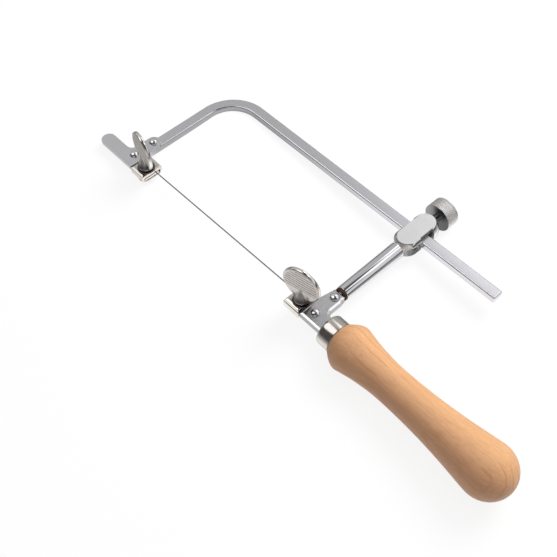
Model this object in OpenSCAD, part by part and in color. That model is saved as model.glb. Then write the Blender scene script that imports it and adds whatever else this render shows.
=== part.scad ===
// Adjustable fret saw frame with a turned wooden handle and a fitted blade.
// The saw lies on its side: X runs along the blade towards the handle, Y runs from the blade
// towards the spine, Z is square to the flat of the frame. The origin is where the rear wing
// screw's axis crosses the middle plane of the frame. Millimetres.

/* [Frame bar] */
// Width of the flat bar, seen on the flat of the saw
bar_w = 6.0; // [5.5:0.1:6.4]
// Thickness of the flat bar
bar_t = 4.0; // [3.8:0.1:4.4]
// Bend radius on the bar's centre line
bend_r = 19.3; // [12:0.1:26]
// Height of the spine's centre line over the handle's axis
spine_y = 68.7; // [60:0.1:90]
// Distance from the rear wing screw to the spine's free end
spine_tail = 58.9; // [40:0.1:70]
// Distance from the front wing screw to the front arm's centre line
arm_back = 12.25; // [12:0.05:14]
// How far the front arm reaches past the handle's axis
arm_foot = 4.0; // [3.4:0.1:5]

/* [Tip plate] */
// Width of the thumb tab
tab_w = 7.8; // [7:0.1:9]
// Length of the tab from the front arm's centre line
tab_reach = 22.4; // [16:0.1:28]
// Thickness of the tip plate
tip_t = 1.9; // [1.5:0.1:2.4]
// Width of the leg that lies on the front arm
leg_w = 7.8; // [7:0.1:9]
// Distance from the lower rivet to the upper rivet
rivet_gap = 12.7; // [11:0.1:16]

/* [Blade clamps] */
// Length of the front clamp plate
front_cap_l = 10.0; // [9.6:0.1:11]
// Width of the front clamp plate
front_cap_w = 12.3; // [12:0.1:14]
// Length of the rear clamp plate
rear_cap_l = 9.0; // [8.6:0.1:9.2]
// Width of the rear clamp plate
rear_cap_w = 10.0; // [9.8:0.1:11]
// Thickness of both clamp plates
cap_t = 2.2; // [1.8:0.1:2.6]
// Thickness of the front jaw below its seat
front_jaw_t = 2.3; // [2:0.1:2.6]
// Thickness of the rear jaw below its seat
rear_jaw_t = 3.7; // [3.2:0.1:3.9]
// Radius of the front jaw's rounded corners
jaw_corner_r = 3.0; // [2:0.1:3.5]

/* [Wing screws] */
// Radius of the screw thread
wing_thread_r = 1.9; // [1.7:0.05:1.95]
// Half width of the oval head
head_a = 9.9; // [8:0.1:10.5]
// Half height of the oval head
head_b = 10.6; // [9:0.1:12]
// Thickness of the oval head
head_t = 2.2; // [1.8:0.1:3]
// Turn of the front head away from the X axis, in degrees
front_head_turn = -12; // [-40:0.1:40]
// Turn of the rear head away from the X axis, in degrees
rear_head_turn = 12.4; // [-40:0.1:40]
// Radius of the washer
washer_r = 4.6; // [4.2:0.1:4.8]
// Thickness of the washer
washer_t = 1.0; // [0.8:0.1:1.4]
// Spacing of the grip grooves on the head
groove_pitch = 1.7; // [1.2:0.1:2.4]

/* [Blade] */
// Length of the blade, which sets how far the frame stands open
blade_l = 127.0; // [105:0.5:150]
// Length of the blade behind the rear wing screw
blade_tail = 2.8; // [2:0.1:2.9]
// Width of the blade with its teeth
blade_w = 0.7; // [0.5:0.05:0.8]
// Thickness of the blade
blade_t = 0.34; // [0.2:0.01:0.36]
// Spacing of the teeth
tooth_pitch = 0.6; // [0.6:0.1:1.2]
// Depth of the teeth
tooth_h = 0.2; // [0.1:0.01:0.25]
// Length of each plain end without teeth
blade_plain = 16.5; // [15:0.1:25]
// Height of the blade over the handle's axis at the front wing screw
blade_front_y = 0.6; // [0.4:0.05:1]

/* [Slider block] */
// Distance from the rear wing screw to the axis of the rod, block and knob
rod_x = 8.1; // [7.9:0.1:8.5]
// Radius of the block's round sides
block_r = 7.0; // [6.6:0.1:7.6]
// Thickness between the block's two flats
block_t = 9.8; // [9.4:0.1:10.4]
// Length of the block over its round ends
block_l = 27.0; // [26:0.1:30]
// Reach of the block past the spine's centre line, away from the blade
block_over = 13.2; // [12.8:0.1:14]
// Free room in the slot beyond the bar
slot_room = 2.1; // [2:0.1:2.6]
// Height of the fork that grips the rod's tongue
fork_h = 5.4; // [5:0.1:5.6]

/* [Clamp knob] */
// Radius of the knurled knob
knob_r = 7.6; // [6:0.1:9]
// Length of the knob
knob_l = 7.2; // [5:0.1:9]
// Gap between the block and the knob when clamped
knob_gap = 1.8; // [1.6:0.1:4]
// Radius of the clamp screw
clamp_thread_r = 2.4; // [2.2:0.05:2.5]
// Number of knurl ridges
knurl_count = 40; // [24:1:48]

/* [Lower arm] */
// Radius of the rod at its lower end
rod_low_r = 3.7; // [3.5:0.05:4]
// Radius of the rod at the block
rod_top_r = 4.1; // [3.9:0.05:4.3]
// Height of the cross plate's lobe centre over the handle's axis
lobe_y = 13.1; // [12:0.1:15]
// Radius of the cross plate's lobe
lobe_r = 3.9; // [3.8:0.1:4.2]
// Thickness of the cross plate
cross_t = 4.4; // [4.4:0.1:4.8]
// Width of the cross plate's tang end
cross_w = 8.8; // [8.4:0.1:9.2]
// Thickness of the tongues let into the cross plate
tongue_t = 1.6; // [1.2:0.1:2]
// Length of the collar between the lobe and the rod
collar_l = 1.9; // [1.4:0.1:2.4]

/* [Handle] */
// Distance from the rear wing screw to the ferrule
ferrule_x = 17.0; // [15.6:0.1:19]
// Outer radius of the ferrule
ferrule_r = 7.9; // [7.6:0.1:8]
// Length of the ferrule
ferrule_l = 7.5; // [6:0.1:12]
// Wall of the ferrule
ferrule_wall = 0.9; // [0.7:0.1:1.2]
// Length of the wood from the ferrule to the butt
handle_l = 98.9; // [85:0.1:120]
// Radius of the wood at its shoulder
shoulder_r = 8.3; // [8.1:0.1:9]
// Radius of the front bulge
bulge_r = 11.9; // [11:0.1:13]
// Radius of the waist
waist_r = 8.75; // [8:0.05:10]
// Radius of the butt
butt_r = 12.85; // [11:0.05:15]
// Distance from the ferrule to the top of the front bulge
bulge_at = 7.6; // [5:0.1:10]
// Distance from the ferrule to the waist
waist_at = 32.6; // [28:0.1:40]
// Distance from the butt's widest ring to its end
butt_l = 13.3; // [11:0.1:16]
// Length of the tang inside the wood
tang_l = 48; // [35:1:60]

/* [Rivets] */
// Radius of the rivet heads
rivet_head_r = 2.4; // [2.2:0.05:2.5]
// Height of the domed heads
rivet_dome = 1.5; // [1:0.1:1.8]
// Radius of the rivet shanks
rivet_r = 1.2; // [1:0.05:1.3]

/* [Hidden] */
$fn = 64;

// Clearances and overruns
fit = 0.05;       // room round a pinned or driven piece
thread_fit = 0.1; // radial room round a screw
slide_fit = 0.15; // room round the bar in the slider
gap = 0.3;        // room between pieces that move apart
cut = 0.5;        // overrun of every cut

// Blade, held beside both wing screws
bite = blade_t + 2 * fit; // jaw opening round the blade
blade_room = 0.35;        // room between the blade and a screw
blade_rear_y = wing_thread_r + blade_room + blade_w / 2;
blade_lead = arm_back - bar_w / 2 - fit; // length of the blade before the front wing screw
tooth_tip_share = 0.83;

// Places that follow from the driving sizes
front_x = blade_lead + blade_tail - blade_l;
front_y = blade_front_y - blade_w / 2 - blade_room - wing_thread_r;
arm_x = front_x - arm_back;
arm_in = arm_x + bar_w / 2;
spine_in = spine_y - bar_w / 2;
spine_out = spine_y + bar_w / 2;
bend_y = spine_y - bend_r;
bend_x = arm_x + bend_r;
blade_x0 = arm_in + fit;
blade_skew = atan2(blade_rear_y - blade_front_y, -front_x);

// Seat and plate heights over the middle plane, the same at both clamps
cap_z = bar_t / 2;
seat_z = cap_z - bite;
flange_t = 1.1;       // wall of a plate's turned-down side
flange_drop = 1.65;   // its depth below the plate
pad_drop = 1.55;      // depth of a seat's raised pad

// Front clamp: the plate's centre, its sides and the jaw below it
front_cap_back = 1.3; // the plate's centre lies this far before the screw
front_cap_up = 0.65;  // and this far towards the spine
front_cap_x0 = front_x - front_cap_back - front_cap_l / 2;
front_cap_y = front_y + front_cap_up;
front_cap_y0 = front_cap_y - front_cap_w / 2;
front_cap_y1 = front_cap_y + front_cap_w / 2;
front_jaw_nose = 0.4; // the jaw's reach past the clamp plate
front_seat_open = 0.9; // open space between the jaw's seat and the clamp plate's spine side
lap_w = 7.9;          // width of the jaw's lap on the bar

// Rear clamp
rear_cap_x1 = 2.7;
rear_jaw_over = 0.2;  // the jaw's overhang past the plate's end and sides
rear_jaw_toe = 0.9;   // the jaw's reach before the plate
rear_jaw_x0 = rear_cap_x1 - rear_cap_l - rear_jaw_toe;
rear_jaw_x1 = rear_cap_x1 + rear_jaw_over;
cross_x0 = rear_jaw_x1 + gap;

// Wing screw heights over the middle plane
washer_z = cap_z + cap_t;
boss_z = washer_z + washer_t + fit;
boss_r = 4.0;
boss_h = 1.7;
head_sink = 0.6;     // how far the oval head runs down behind its neck
head_z = boss_z + boss_h + head_b - head_sink;
neck_w = 9.4;        // width where the head meets its neck
head_steps = 40;
groove_count = 8;
groove_d = 0.35;
groove_low = 2.6;    // the lowest groove lies this far below the head's centre
screw_end_z = -2.0;

// Tip plate
tab_y = front_cap_y0 + tab_w / 2;
tab_x0 = arm_x - tab_reach;
tip_x1 = front_cap_x0 - gap;
low_rivet_y = -0.6;
high_rivet_y = low_rivet_y + rivet_gap;
tip_fillet = 3.5;

// Cross plate and what it grips
cross_taper_y = 8.5;  // where its inner edge turns in to the lobe
cross_fillet = 3.3;
low_pin_y = 0.7;
collar_r = 3.5;
collar_y = lobe_y + lobe_r;
rod_y0 = collar_y + collar_l;
rod_tongue_w = 4.2;
rod_tongue_l = 7.2;
rod_neck_r = 2.0;
jaw_tongue_w = 5.6;
jaw_tongue_l = 8.4;
tang_w = 5.0;
tang_tip_w = 2.0;
tang_shoulder = 1.0;

// Slider block
block_y1 = spine_y + block_over;
block_y0 = block_y1 - block_l;
slot_y0 = spine_in - fit;
slot_y1 = spine_out + slot_room;
flat_half = sqrt(block_r * block_r - block_t * block_t / 4);
rod_seat = 0.4;       // the rod's end lies this far inside the block's round end
rod_y1 = block_y0 + rod_seat;
fork_tongue_w = 5.5;
fork_tongue_gap = 0.6;

// Clamp screw, its shoe and the knob
shoe_t = 1.2;
shoe_r = 2.9;
shoe_y = spine_out + 2 * fit;
shoe_travel = 1.4;
bore_y = shoe_y + shoe_t; // the screw's bore in the block opens here
knob_y = block_y1 + knob_gap;
knob_edge = 0.3;      // rounding of the knob's face towards the block
knob_round = 0.8;     // and of its outer face
knurl_d = 0.35;

// Handle
wood_x = ferrule_x + ferrule_l;
spigot_r = ferrule_r - ferrule_wall - fit;
ferrule_front = 1.1;
ferrule_round = 1.6;
round_steps = 6;
profile_steps = 12;

// Handle curves: shares of each stretch where the curve's own handles lie
bulge_ease_share = 0.04;
waist_in_share = 0.47;
waist_out_share = 0.57;
butt_ease_share = 0.91;

// One coordinate of a cubic curve through four values
function cubic(a, b, c, d, t) =
    a * pow(1 - t, 3) + 3 * b * t * pow(1 - t, 2) + 3 * c * t * t * (1 - t) + d * pow(t, 3);

// Points of a rounded corner about a centre, from one angle to another
function arc(x, y, r, a0, a1, n = round_steps) =
    [for (i = [0:n]) [x + r * cos(a0 + (a1 - a0) * i / n), y + r * sin(a0 + (a1 - a0) * i / n)]];

// A box from its lowest corner to its highest
module block_between(low, high) {
    translate(low) cube(high - low);
}

// A domed rivet head that sits on the plane z = 0
module dome(r, h) {
    ball_r = (r * r + h * h) / (2 * h);
    intersection() {
        translate([0, 0, h - ball_r]) sphere(ball_r);
        cylinder(r = r, h = h);
    }
}

// A rivet from z0 to z1 with a dome on top and a low dome below
module rivet(x, y, z0, z1) {
    translate([x, y, z1]) dome(rivet_head_r, rivet_dome);
    translate([x, y, z0]) cylinder(r = rivet_r, h = z1 - z0);
    translate([x, y, z0]) mirror([0, 0, 1]) dome(rivet_head_r, rivet_dome / 2);
}

module rivet_hole(x, y, z0, z1) {
    translate([x, y, z0 - cut]) cylinder(r = rivet_r + fit, h = z1 - z0 + 2 * cut);
}

// Wing screw: grooved oval head, neck, boss and thread
function head_outline() =
    let (low = -acos(neck_w / 2 / head_a))
    concat(
        [for (i = [0:head_steps]) let (a = low + (180 - 2 * low) * i / head_steps)
            [head_a * cos(a), head_z + head_b * sin(a)]],
        [[-boss_r + fit, boss_z + boss_h - fit], [boss_r - fit, boss_z + boss_h - fit]]);

module wing_head() {
    difference() {
        rotate([90, 0, 0])
            translate([0, 0, -head_t / 2])
                linear_extrude(head_t) polygon(head_outline());
        for (side = [-1, 1])
            for (i = [0:groove_count - 1])
                translate([0, side * head_t / 2, head_z - groove_low + i * groove_pitch])
                    rotate([45, 0, 0])
                        cube([2 * (head_a + cut), groove_d, groove_d], center = true);
    }
}

module wing_screw(turn) {
    color("silver") {
        rotate([0, 0, turn]) wing_head();
        translate([0, 0, boss_z]) cylinder(r = boss_r, h = boss_h);
        translate([0, 0, screw_end_z]) cylinder(r = wing_thread_r, h = boss_z - screw_end_z + fit);
    }
}

module washer() {
    color("dimgray")
        translate([0, 0, washer_z])
            difference() {
                cylinder(r = washer_r, h = washer_t);
                translate([0, 0, -cut]) cylinder(r = wing_thread_r + thread_fit, h = washer_t + 2 * cut);
            }
}

// Whole ring that the bar's bend is a quarter of
module bend_ring() {
    difference() {
        cylinder(r = bend_r + bar_w / 2, h = bar_t);
        translate([0, 0, -cut]) cylinder(r = bend_r - bar_w / 2, h = bar_t + 2 * cut);
    }
}

// Frame bar: front arm, bend and spine in one, lapped at the foot for the front jaw
module frame_bar() {
    color("lightsteelblue")
        difference() {
            union() {
                block_between([arm_x - bar_w / 2, -arm_foot, -bar_t / 2], [arm_in, bend_y, bar_t / 2]);
                block_between([bend_x, spine_in, -bar_t / 2], [spine_tail, spine_out, bar_t / 2]);
                translate([bend_x, bend_y, -bar_t / 2])
                    intersection() {
                        bend_ring($fn = 128);
                        block_between([-bend_r - bar_w, 0, 0], [0, bend_r + bar_w, bar_t]);
                    }
            }
            block_between([arm_x - bar_w, -arm_foot - cut, seat_z - front_jaw_t - fit],
                          [arm_in + cut, lap_w / 2 + fit, bar_t]);
            rivet_hole(arm_x, low_rivet_y, -bar_t / 2, bar_t / 2);
            rivet_hole(arm_x, high_rivet_y, -bar_t / 2, bar_t / 2);
        }
}

// Tip plate: thumb tab, leg on the front arm and a foot up to the clamp plate
module tip_outline() {
    translate([tab_x0 + tab_w / 2, tab_y]) circle(tab_w / 2);
    translate([tab_x0 + tab_w / 2, tab_y - tab_w / 2]) square([tip_x1 - tab_x0 - tab_w / 2, tab_w]);
    translate([arm_x, high_rivet_y]) circle(leg_w / 2);
    polygon([[arm_x - leg_w / 2, tab_y], [tip_x1, tab_y], [tip_x1, front_cap_y1 - flange_t],
             [arm_x + leg_w / 2, high_rivet_y], [arm_x - leg_w / 2, high_rivet_y]]);
    translate([arm_x - leg_w / 2 - tip_fillet, tab_y + tab_w / 2])
        difference() {
            square(tip_fillet + fit);
            translate([0, tip_fillet]) circle(tip_fillet);
        }
}

module tip_plate() {
    color("gainsboro")
        difference() {
            translate([0, 0, bar_t / 2]) linear_extrude(tip_t) tip_outline();
            rivet_hole(arm_x, low_rivet_y, bar_t / 2, bar_t / 2 + tip_t);
            rivet_hole(arm_x, high_rivet_y, bar_t / 2, bar_t / 2 + tip_t);
        }
}

module tip_rivets() {
    color("white")
        for (y = [low_rivet_y, high_rivet_y])
            rivet(arm_x, y, -bar_t / 2, bar_t / 2 + tip_t);
}

// Front jaw: a plate with a raised seat, lapped on the bar's foot
module front_jaw() {
    x1 = front_cap_x0 + front_cap_l + front_jaw_nose;
    z0 = seat_z - front_jaw_t;
    color("tan")
        difference() {
            union() {
                translate([0, 0, z0])
                    linear_extrude(front_jaw_t - pad_drop)
                        polygon(concat(
                            [[front_cap_x0, front_cap_y1], [arm_in + fit, lap_w / 2],
                             [arm_in + fit, -arm_foot], [front_cap_x0, front_cap_y0 + flange_t]],
                            arc(x1 - jaw_corner_r, front_cap_y0 + jaw_corner_r, jaw_corner_r, -90, 0),
                            arc(x1 - jaw_corner_r, front_cap_y1 - jaw_corner_r, jaw_corner_r, 0, 90)));
                block_between([arm_in + fit, front_cap_y0 + flange_t + gap, z0],
                              [x1 - front_jaw_nose, front_cap_y1 - flange_t - front_seat_open, seat_z]);
                block_between([arm_x - bar_w / 2, -arm_foot, z0], [arm_in + 2 * fit, lap_w / 2, bar_t / 2]);
            }
            rivet_hole(arm_x, low_rivet_y, z0, bar_t / 2);
            translate([front_x, front_y, z0 - cut])
                cylinder(r = wing_thread_r + thread_fit, h = front_jaw_t + 2 * cut);
        }
}

// Blade: plain ends and teeth that point towards the handle
module blade() {
    tooth_n = floor((blade_l - 2 * blade_plain) / tooth_pitch);
    color("dimgray")
        translate([blade_x0, blade_front_y + (blade_x0 - front_x) * tan(blade_skew), seat_z + fit])
            rotate([0, 0, blade_skew])
                translate([0, -blade_w / 2, 0])
                    linear_extrude(blade_t)
                        polygon(concat(
                            [[blade_l, tooth_h], [blade_l, blade_w], [0, blade_w], [0, tooth_h]],
                            [for (i = [0:tooth_n - 1], k = [0:2])
                                let (x = blade_plain + i * tooth_pitch)
                                [[x, tooth_h], [x + tooth_pitch * tooth_tip_share, 0],
                                 [x + tooth_pitch, tooth_h]][k]]));
}

module front_clamp_plate() {
    color("wheat")
        difference() {
            union() {
                block_between([front_cap_x0, front_cap_y0, cap_z],
                              [front_cap_x0 + front_cap_l, front_cap_y1, cap_z + cap_t]);
                for (y = [front_cap_y0, front_cap_y1 - flange_t])
                    block_between([front_cap_x0, y, cap_z - flange_drop],
                                  [front_cap_x0 + front_cap_l, y + flange_t, cap_z + cap_t]);
            }
            translate([front_x, front_y, cap_z - cut])
                cylinder(r = wing_thread_r + thread_fit, h = cap_t + 2 * cut);
        }
}

module front_washer() {
    translate([front_x, front_y, 0]) washer();
}

module front_wing_screw() {
    translate([front_x, front_y, 0]) wing_screw(front_head_turn);
}

// Slider block: a round bar with ball ends, two flats, the slot for the spine and the fork
module block_body() {
    intersection() {
        union() {
            translate([rod_x, block_y0 + block_r, 0])
                rotate([-90, 0, 0]) cylinder(r = block_r, h = block_l - 2 * block_r);
            for (y = [block_y0 + block_r, block_y1 - block_r])
                translate([rod_x, y, 0]) sphere(block_r);
        }
        block_between([rod_x - block_r - cut, block_y0 - cut, -block_t / 2],
                      [rod_x + block_r + cut, block_y1 + cut, block_t / 2]);
    }
}

module slider_block() {
    color("whitesmoke")
        difference() {
            block_body();
            block_between([rod_x - block_r - cut, slot_y0, -bar_t / 2 - slide_fit],
                          [rod_x + block_r + cut, slot_y1, bar_t / 2 + slide_fit]);
            block_between([rod_x - block_r - cut, block_y0 - cut, -fork_h / 2],
                          [rod_x + block_r + cut, slot_y0 - fork_tongue_gap, fork_h / 2]);
            block_between([rod_x - block_r - cut, slot_y0 - fork_tongue_gap - cut, -bar_t / 2 - slide_fit],
                          [rod_x + block_r + cut, slot_y0 + cut, bar_t / 2 + slide_fit]);
            for (side = [-1, 1])
                translate([rod_x + side * (flat_half + block_r / 2), (slot_y0 + slot_y1) / 2, 0])
                    cube([block_r, slot_y1 - slot_y0, block_t + cut], center = true);
            translate([rod_x, bore_y, 0])
                rotate([-90, 0, 0]) {
                    cylinder(r = clamp_thread_r + thread_fit, h = block_y1 - bore_y + cut);
                    cylinder(r = shoe_r + gap, h = slot_y1 + shoe_travel - bore_y);
                }
        }
}

// Rod: tapered round bar with a tongue at each end
module arm_rod() {
    color("lightsteelblue")
        difference() {
            union() {
                translate([rod_x, rod_y0, 0])
                    rotate([-90, 0, 0]) cylinder(r1 = rod_low_r, r2 = rod_top_r, h = rod_y1 - rod_y0);
                translate([rod_x, collar_y, 0])
                    rotate([-90, 0, 0]) cylinder(r = rod_neck_r, h = collar_l + fit);
                block_between([rod_x - rod_tongue_w / 2, collar_y - rod_tongue_l, -tongue_t / 2],
                              [rod_x + rod_tongue_w / 2, collar_y, tongue_t / 2]);
                block_between([rod_x - rod_neck_r / 2, collar_y - fit, -tongue_t / 2],
                              [rod_x + rod_neck_r / 2, collar_y + fit, tongue_t / 2]);
                block_between([rod_x - fork_tongue_w / 2, rod_y1 - fit, -fork_h / 2 + fit],
                              [rod_x + fork_tongue_w / 2, slot_y0 - fork_tongue_gap - fit,
                               fork_h / 2 - fit]);
            }
            rivet_hole(rod_x, lobe_y, -tongue_t / 2, tongue_t / 2);
        }
}

module rod_collar() {
    color("saddlebrown")
        translate([rod_x, collar_y, 0])
            rotate([-90, 0, 0])
                difference() {
                    cylinder(r = collar_r, h = collar_l);
                    translate([0, 0, -cut]) cylinder(r = rod_neck_r + fit, h = collar_l + 2 * cut);
                }
}

// Cross plate: lobe for the rod, waist for the rear jaw and tang for the handle
module cross_outline() {
    half = cross_w / 2;
    right = rod_x + lobe_r;
    translate([rod_x, lobe_y]) circle(lobe_r);
    corner_r = collar_r - rod_tongue_w / 2;
    polygon(concat([[rod_x - collar_r, lobe_y], [rod_x + collar_r, lobe_y]],
                   arc(rod_x + collar_r - corner_r, collar_y - corner_r, corner_r, 0, 90),
                   arc(rod_x - collar_r + corner_r, collar_y - corner_r, corner_r, 90, 180)));
    polygon([[cross_x0, -half], [ferrule_x, -half], [ferrule_x, half], [right, half],
             [right, lobe_y], [rod_x - lobe_r, lobe_y], [cross_x0, cross_taper_y]]);
    translate([right - fit, half - fit])
        difference() {
            square(cross_fillet);
            translate([cross_fillet, cross_fillet]) circle(cross_fillet);
        }
}

// Slot round a tongue that fills the given rectangle
module tongue_slot(low, high) {
    block_between([low[0] - fit, low[1] - fit, -tongue_t / 2 - fit],
                  [high[0] + fit, high[1] + fit, tongue_t / 2 + fit]);
}

module cross_plate() {
    color("silver")
        difference() {
            union() {
                translate([0, 0, -cross_t / 2]) linear_extrude(cross_t) cross_outline();
                translate([ferrule_x - fit, 0, -bar_t / 2])
                    linear_extrude(bar_t)
                        polygon([[0, -tang_w / 2], [tang_shoulder + ferrule_l, -tang_w / 2],
                                 [tang_l, -tang_tip_w / 2], [tang_l, tang_tip_w / 2],
                                 [tang_shoulder + ferrule_l, tang_w / 2], [0, tang_w / 2]]);
            }
            tongue_slot([rod_x - rod_tongue_w / 2, collar_y - rod_tongue_l],
                        [rod_x + rod_tongue_w / 2, collar_y + cut]);
            tongue_slot([cross_x0 - cut, -jaw_tongue_w / 2],
                        [cross_x0 + jaw_tongue_l, jaw_tongue_w / 2]);
            rivet_hole(rod_x, low_pin_y, -cross_t / 2, cross_t / 2);
            rivet_hole(rod_x, lobe_y, -cross_t / 2, cross_t / 2);
        }
}

module cross_rivets() {
    color("white")
        for (y = [low_pin_y, lobe_y])
            rivet(rod_x, y, -cross_t / 2, cross_t / 2);
}

// Rear jaw: a block with the blade's seat and a tongue let into the cross plate
module rear_jaw() {
    half = rear_cap_w / 2 + rear_jaw_over;
    z0 = seat_z - rear_jaw_t;
    color("tan")
        difference() {
            union() {
                block_between([rear_jaw_x0, -half, z0], [rear_jaw_x1, half - flange_t - gap, seat_z]);
                block_between([rear_jaw_x0, -half, z0], [rear_jaw_x1, half, seat_z - pad_drop]);
                block_between([rear_jaw_x1 - fit, -jaw_tongue_w / 2, -tongue_t / 2],
                              [cross_x0 + jaw_tongue_l, jaw_tongue_w / 2, tongue_t / 2]);
            }
            translate([0, 0, z0 - cut])
                cylinder(r = wing_thread_r + thread_fit, h = rear_jaw_t + 2 * cut);
            rivet_hole(rod_x, low_pin_y, -tongue_t / 2, tongue_t / 2);
        }
}

module rear_clamp_plate() {
    half = rear_cap_w / 2;
    color("wheat")
        difference() {
            union() {
                block_between([rear_cap_x1 - rear_cap_l, -half, cap_z], [rear_cap_x1, half, cap_z + cap_t]);
                block_between([rear_cap_x1 - rear_cap_l, half - flange_t, cap_z - flange_drop],
                              [rear_cap_x1, half, cap_z + cap_t]);
            }
            translate([0, 0, cap_z - cut])
                cylinder(r = wing_thread_r + thread_fit, h = cap_t + 2 * cut);
        }
}

module rear_washer() {
    washer();
}

module rear_wing_screw() {
    wing_screw(rear_head_turn);
}

// Ferrule: a cap with a rounded front edge and a square hole for the tang
module ferrule() {
    color("silver")
        difference() {
            translate([ferrule_x, 0, 0])
                rotate([0, 90, 0])
                    rotate_extrude()
                        polygon(concat(
                            [[0, 0]],
                            arc(ferrule_r - ferrule_round, ferrule_round, ferrule_round, -90, 0),
                            [[ferrule_r, ferrule_l], [ferrule_r - ferrule_wall, ferrule_l],
                             [ferrule_r - ferrule_wall, ferrule_front], [0, ferrule_front]]));
            block_between([ferrule_x - cut, -tang_w / 2 - fit, -bar_t / 2 - fit],
                          [ferrule_x + ferrule_front + cut, tang_w / 2 + fit, bar_t / 2 + fit]);
        }
}

// Handle: a turned profile from the spigot to the round butt, with a slot for the tang
function handle_profile() =
    let (waist = waist_at, butt = handle_l - butt_l, n = profile_steps)
    concat(
        [[0, ferrule_front + fit - ferrule_l], [spigot_r, ferrule_front + fit - ferrule_l],
         [spigot_r, fit], [shoulder_r, fit]],
        [for (i = [1:n]) let (t = i / n)
            [shoulder_r + (bulge_r - shoulder_r) * sin(90 * t), bulge_at * t + fit * (1 - t)]],
        [for (i = [1:n]) let (t = i / n, run = waist - bulge_at)
            [cubic(bulge_r, bulge_r, waist_r, waist_r, t),
             bulge_at + run * cubic(0, bulge_ease_share, waist_in_share, 1, t)]],
        [for (i = [1:n]) let (t = i / n, run = butt - waist)
            [cubic(waist_r, waist_r, butt_r, butt_r, t),
             waist + run * cubic(0, waist_out_share, butt_ease_share, 1, t)]],
        [for (i = [1:n]) let (a = 90 * i / n) [butt_r * cos(a), butt + butt_l * sin(a)]]);

module handle() {
    color("burlywood")
        difference() {
            translate([wood_x, 0, 0]) rotate([0, 90, 0]) rotate_extrude() polygon(handle_profile());
            translate([0, 0, -bar_t / 2 - fit])
                linear_extrude(bar_t + 2 * fit)
                    polygon([[ferrule_x, -tang_w / 2 - fit],
                             [ferrule_x + tang_shoulder + ferrule_l + fit, -tang_w / 2 - fit],
                             [ferrule_x + tang_l + fit, -tang_tip_w / 2 - fit],
                             [ferrule_x + tang_l + fit, tang_tip_w / 2 + fit],
                             [ferrule_x + tang_shoulder + ferrule_l + fit, tang_w / 2 + fit],
                             [ferrule_x, tang_w / 2 + fit]]);
        }
}

// Clamp shoe: a disc between the clamp screw and the spine
module clamp_shoe() {
    color("goldenrod")
        translate([rod_x, shoe_y, 0])
            rotate([-90, 0, 0])
                intersection() {
                    cylinder(r = shoe_r, h = shoe_t);
                    block_between([-shoe_r, -bar_t / 2, 0], [shoe_r, bar_t / 2, shoe_t]);
                }
}

module clamp_screw() {
    y0 = shoe_y + shoe_t + fit;
    color("silver")
        translate([rod_x, y0, 0])
            rotate([-90, 0, 0]) cylinder(r = clamp_thread_r, h = knob_y + knob_l / 2 - y0);
}

// Clamp knob: a knurled wheel with rounded edges and a blind hole for its screw
module clamp_knob() {
    color("lightgray")
        translate([rod_x, knob_y, 0])
            rotate([-90, 0, 0])
                difference() {
                    rotate_extrude()
                        polygon(concat(
                            [[0, 0]],
                            arc(knob_r - knob_edge, knob_edge, knob_edge, -90, 0),
                            arc(knob_r - knob_round, knob_l - knob_round, knob_round, 0, 90),
                            [[0, knob_l]]));
                    for (i = [0:knurl_count - 1])
                        rotate([0, 0, 360 * i / knurl_count])
                            translate([knob_r, 0, knob_l / 2])
                                rotate([0, 0, 45])
                                    cube([knurl_d, knurl_d, knob_l + 2 * cut], center = true);
                    translate([0, 0, -cut]) cylinder(r = clamp_thread_r + fit, h = knob_l / 2 + cut + fit);
                }
}

frame_bar();
tip_plate();
tip_rivets();
front_jaw();
blade();
front_clamp_plate();
front_washer();
front_wing_screw();
slider_block();
arm_rod();
rod_collar();
cross_plate();
cross_rivets();
rear_jaw();
ferrule();
handle();
rear_clamp_plate();
rear_washer();
rear_wing_screw();
clamp_shoe();
clamp_screw();
clamp_knob();
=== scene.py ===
"""Adjustable fret saw with a turned wooden handle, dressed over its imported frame.

X runs along the blade towards the handle, Y towards the spine, Z out of the flat of the saw.
Every size is in metres, and places come from the frame's own boxes.
"""

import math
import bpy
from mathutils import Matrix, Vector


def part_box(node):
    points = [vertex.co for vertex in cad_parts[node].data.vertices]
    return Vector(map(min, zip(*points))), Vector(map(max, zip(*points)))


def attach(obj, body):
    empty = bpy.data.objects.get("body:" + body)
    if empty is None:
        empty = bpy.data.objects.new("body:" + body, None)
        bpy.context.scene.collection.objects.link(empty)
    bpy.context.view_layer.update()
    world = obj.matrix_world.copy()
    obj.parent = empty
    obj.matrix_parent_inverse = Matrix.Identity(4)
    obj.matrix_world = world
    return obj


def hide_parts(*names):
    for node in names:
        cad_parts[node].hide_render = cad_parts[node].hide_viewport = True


bl_info = {
    "name": "Fret Saw",
    "version": (1, 0, 0),
    "blender": (4, 5, 0),
    "location": "3D View > Sidebar > Fret Saw",
    "description": "Builds an adjustable fret saw around its frame, piece by piece",
    "category": "Object",
}

import bmesh
import bpy
from bpy.props import FloatProperty, FloatVectorProperty, IntProperty, PointerProperty
from mathutils import Matrix, Vector

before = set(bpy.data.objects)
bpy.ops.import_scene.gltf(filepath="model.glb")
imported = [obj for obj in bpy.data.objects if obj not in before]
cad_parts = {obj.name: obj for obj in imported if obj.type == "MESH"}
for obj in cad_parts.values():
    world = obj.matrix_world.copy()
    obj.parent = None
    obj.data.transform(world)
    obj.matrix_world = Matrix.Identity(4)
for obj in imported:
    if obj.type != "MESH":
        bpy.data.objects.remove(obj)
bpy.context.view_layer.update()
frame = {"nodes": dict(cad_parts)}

MM = 0.001
BAR_LOW, BAR_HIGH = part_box("frame_bar")
BLOCK_LOW, BLOCK_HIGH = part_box("slider_block")
KNOB_LOW, KNOB_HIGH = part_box("clamp_knob")
FERRULE_LOW, FERRULE_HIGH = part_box("ferrule")
WOOD_LOW, WOOD_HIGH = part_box("handle")

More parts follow.
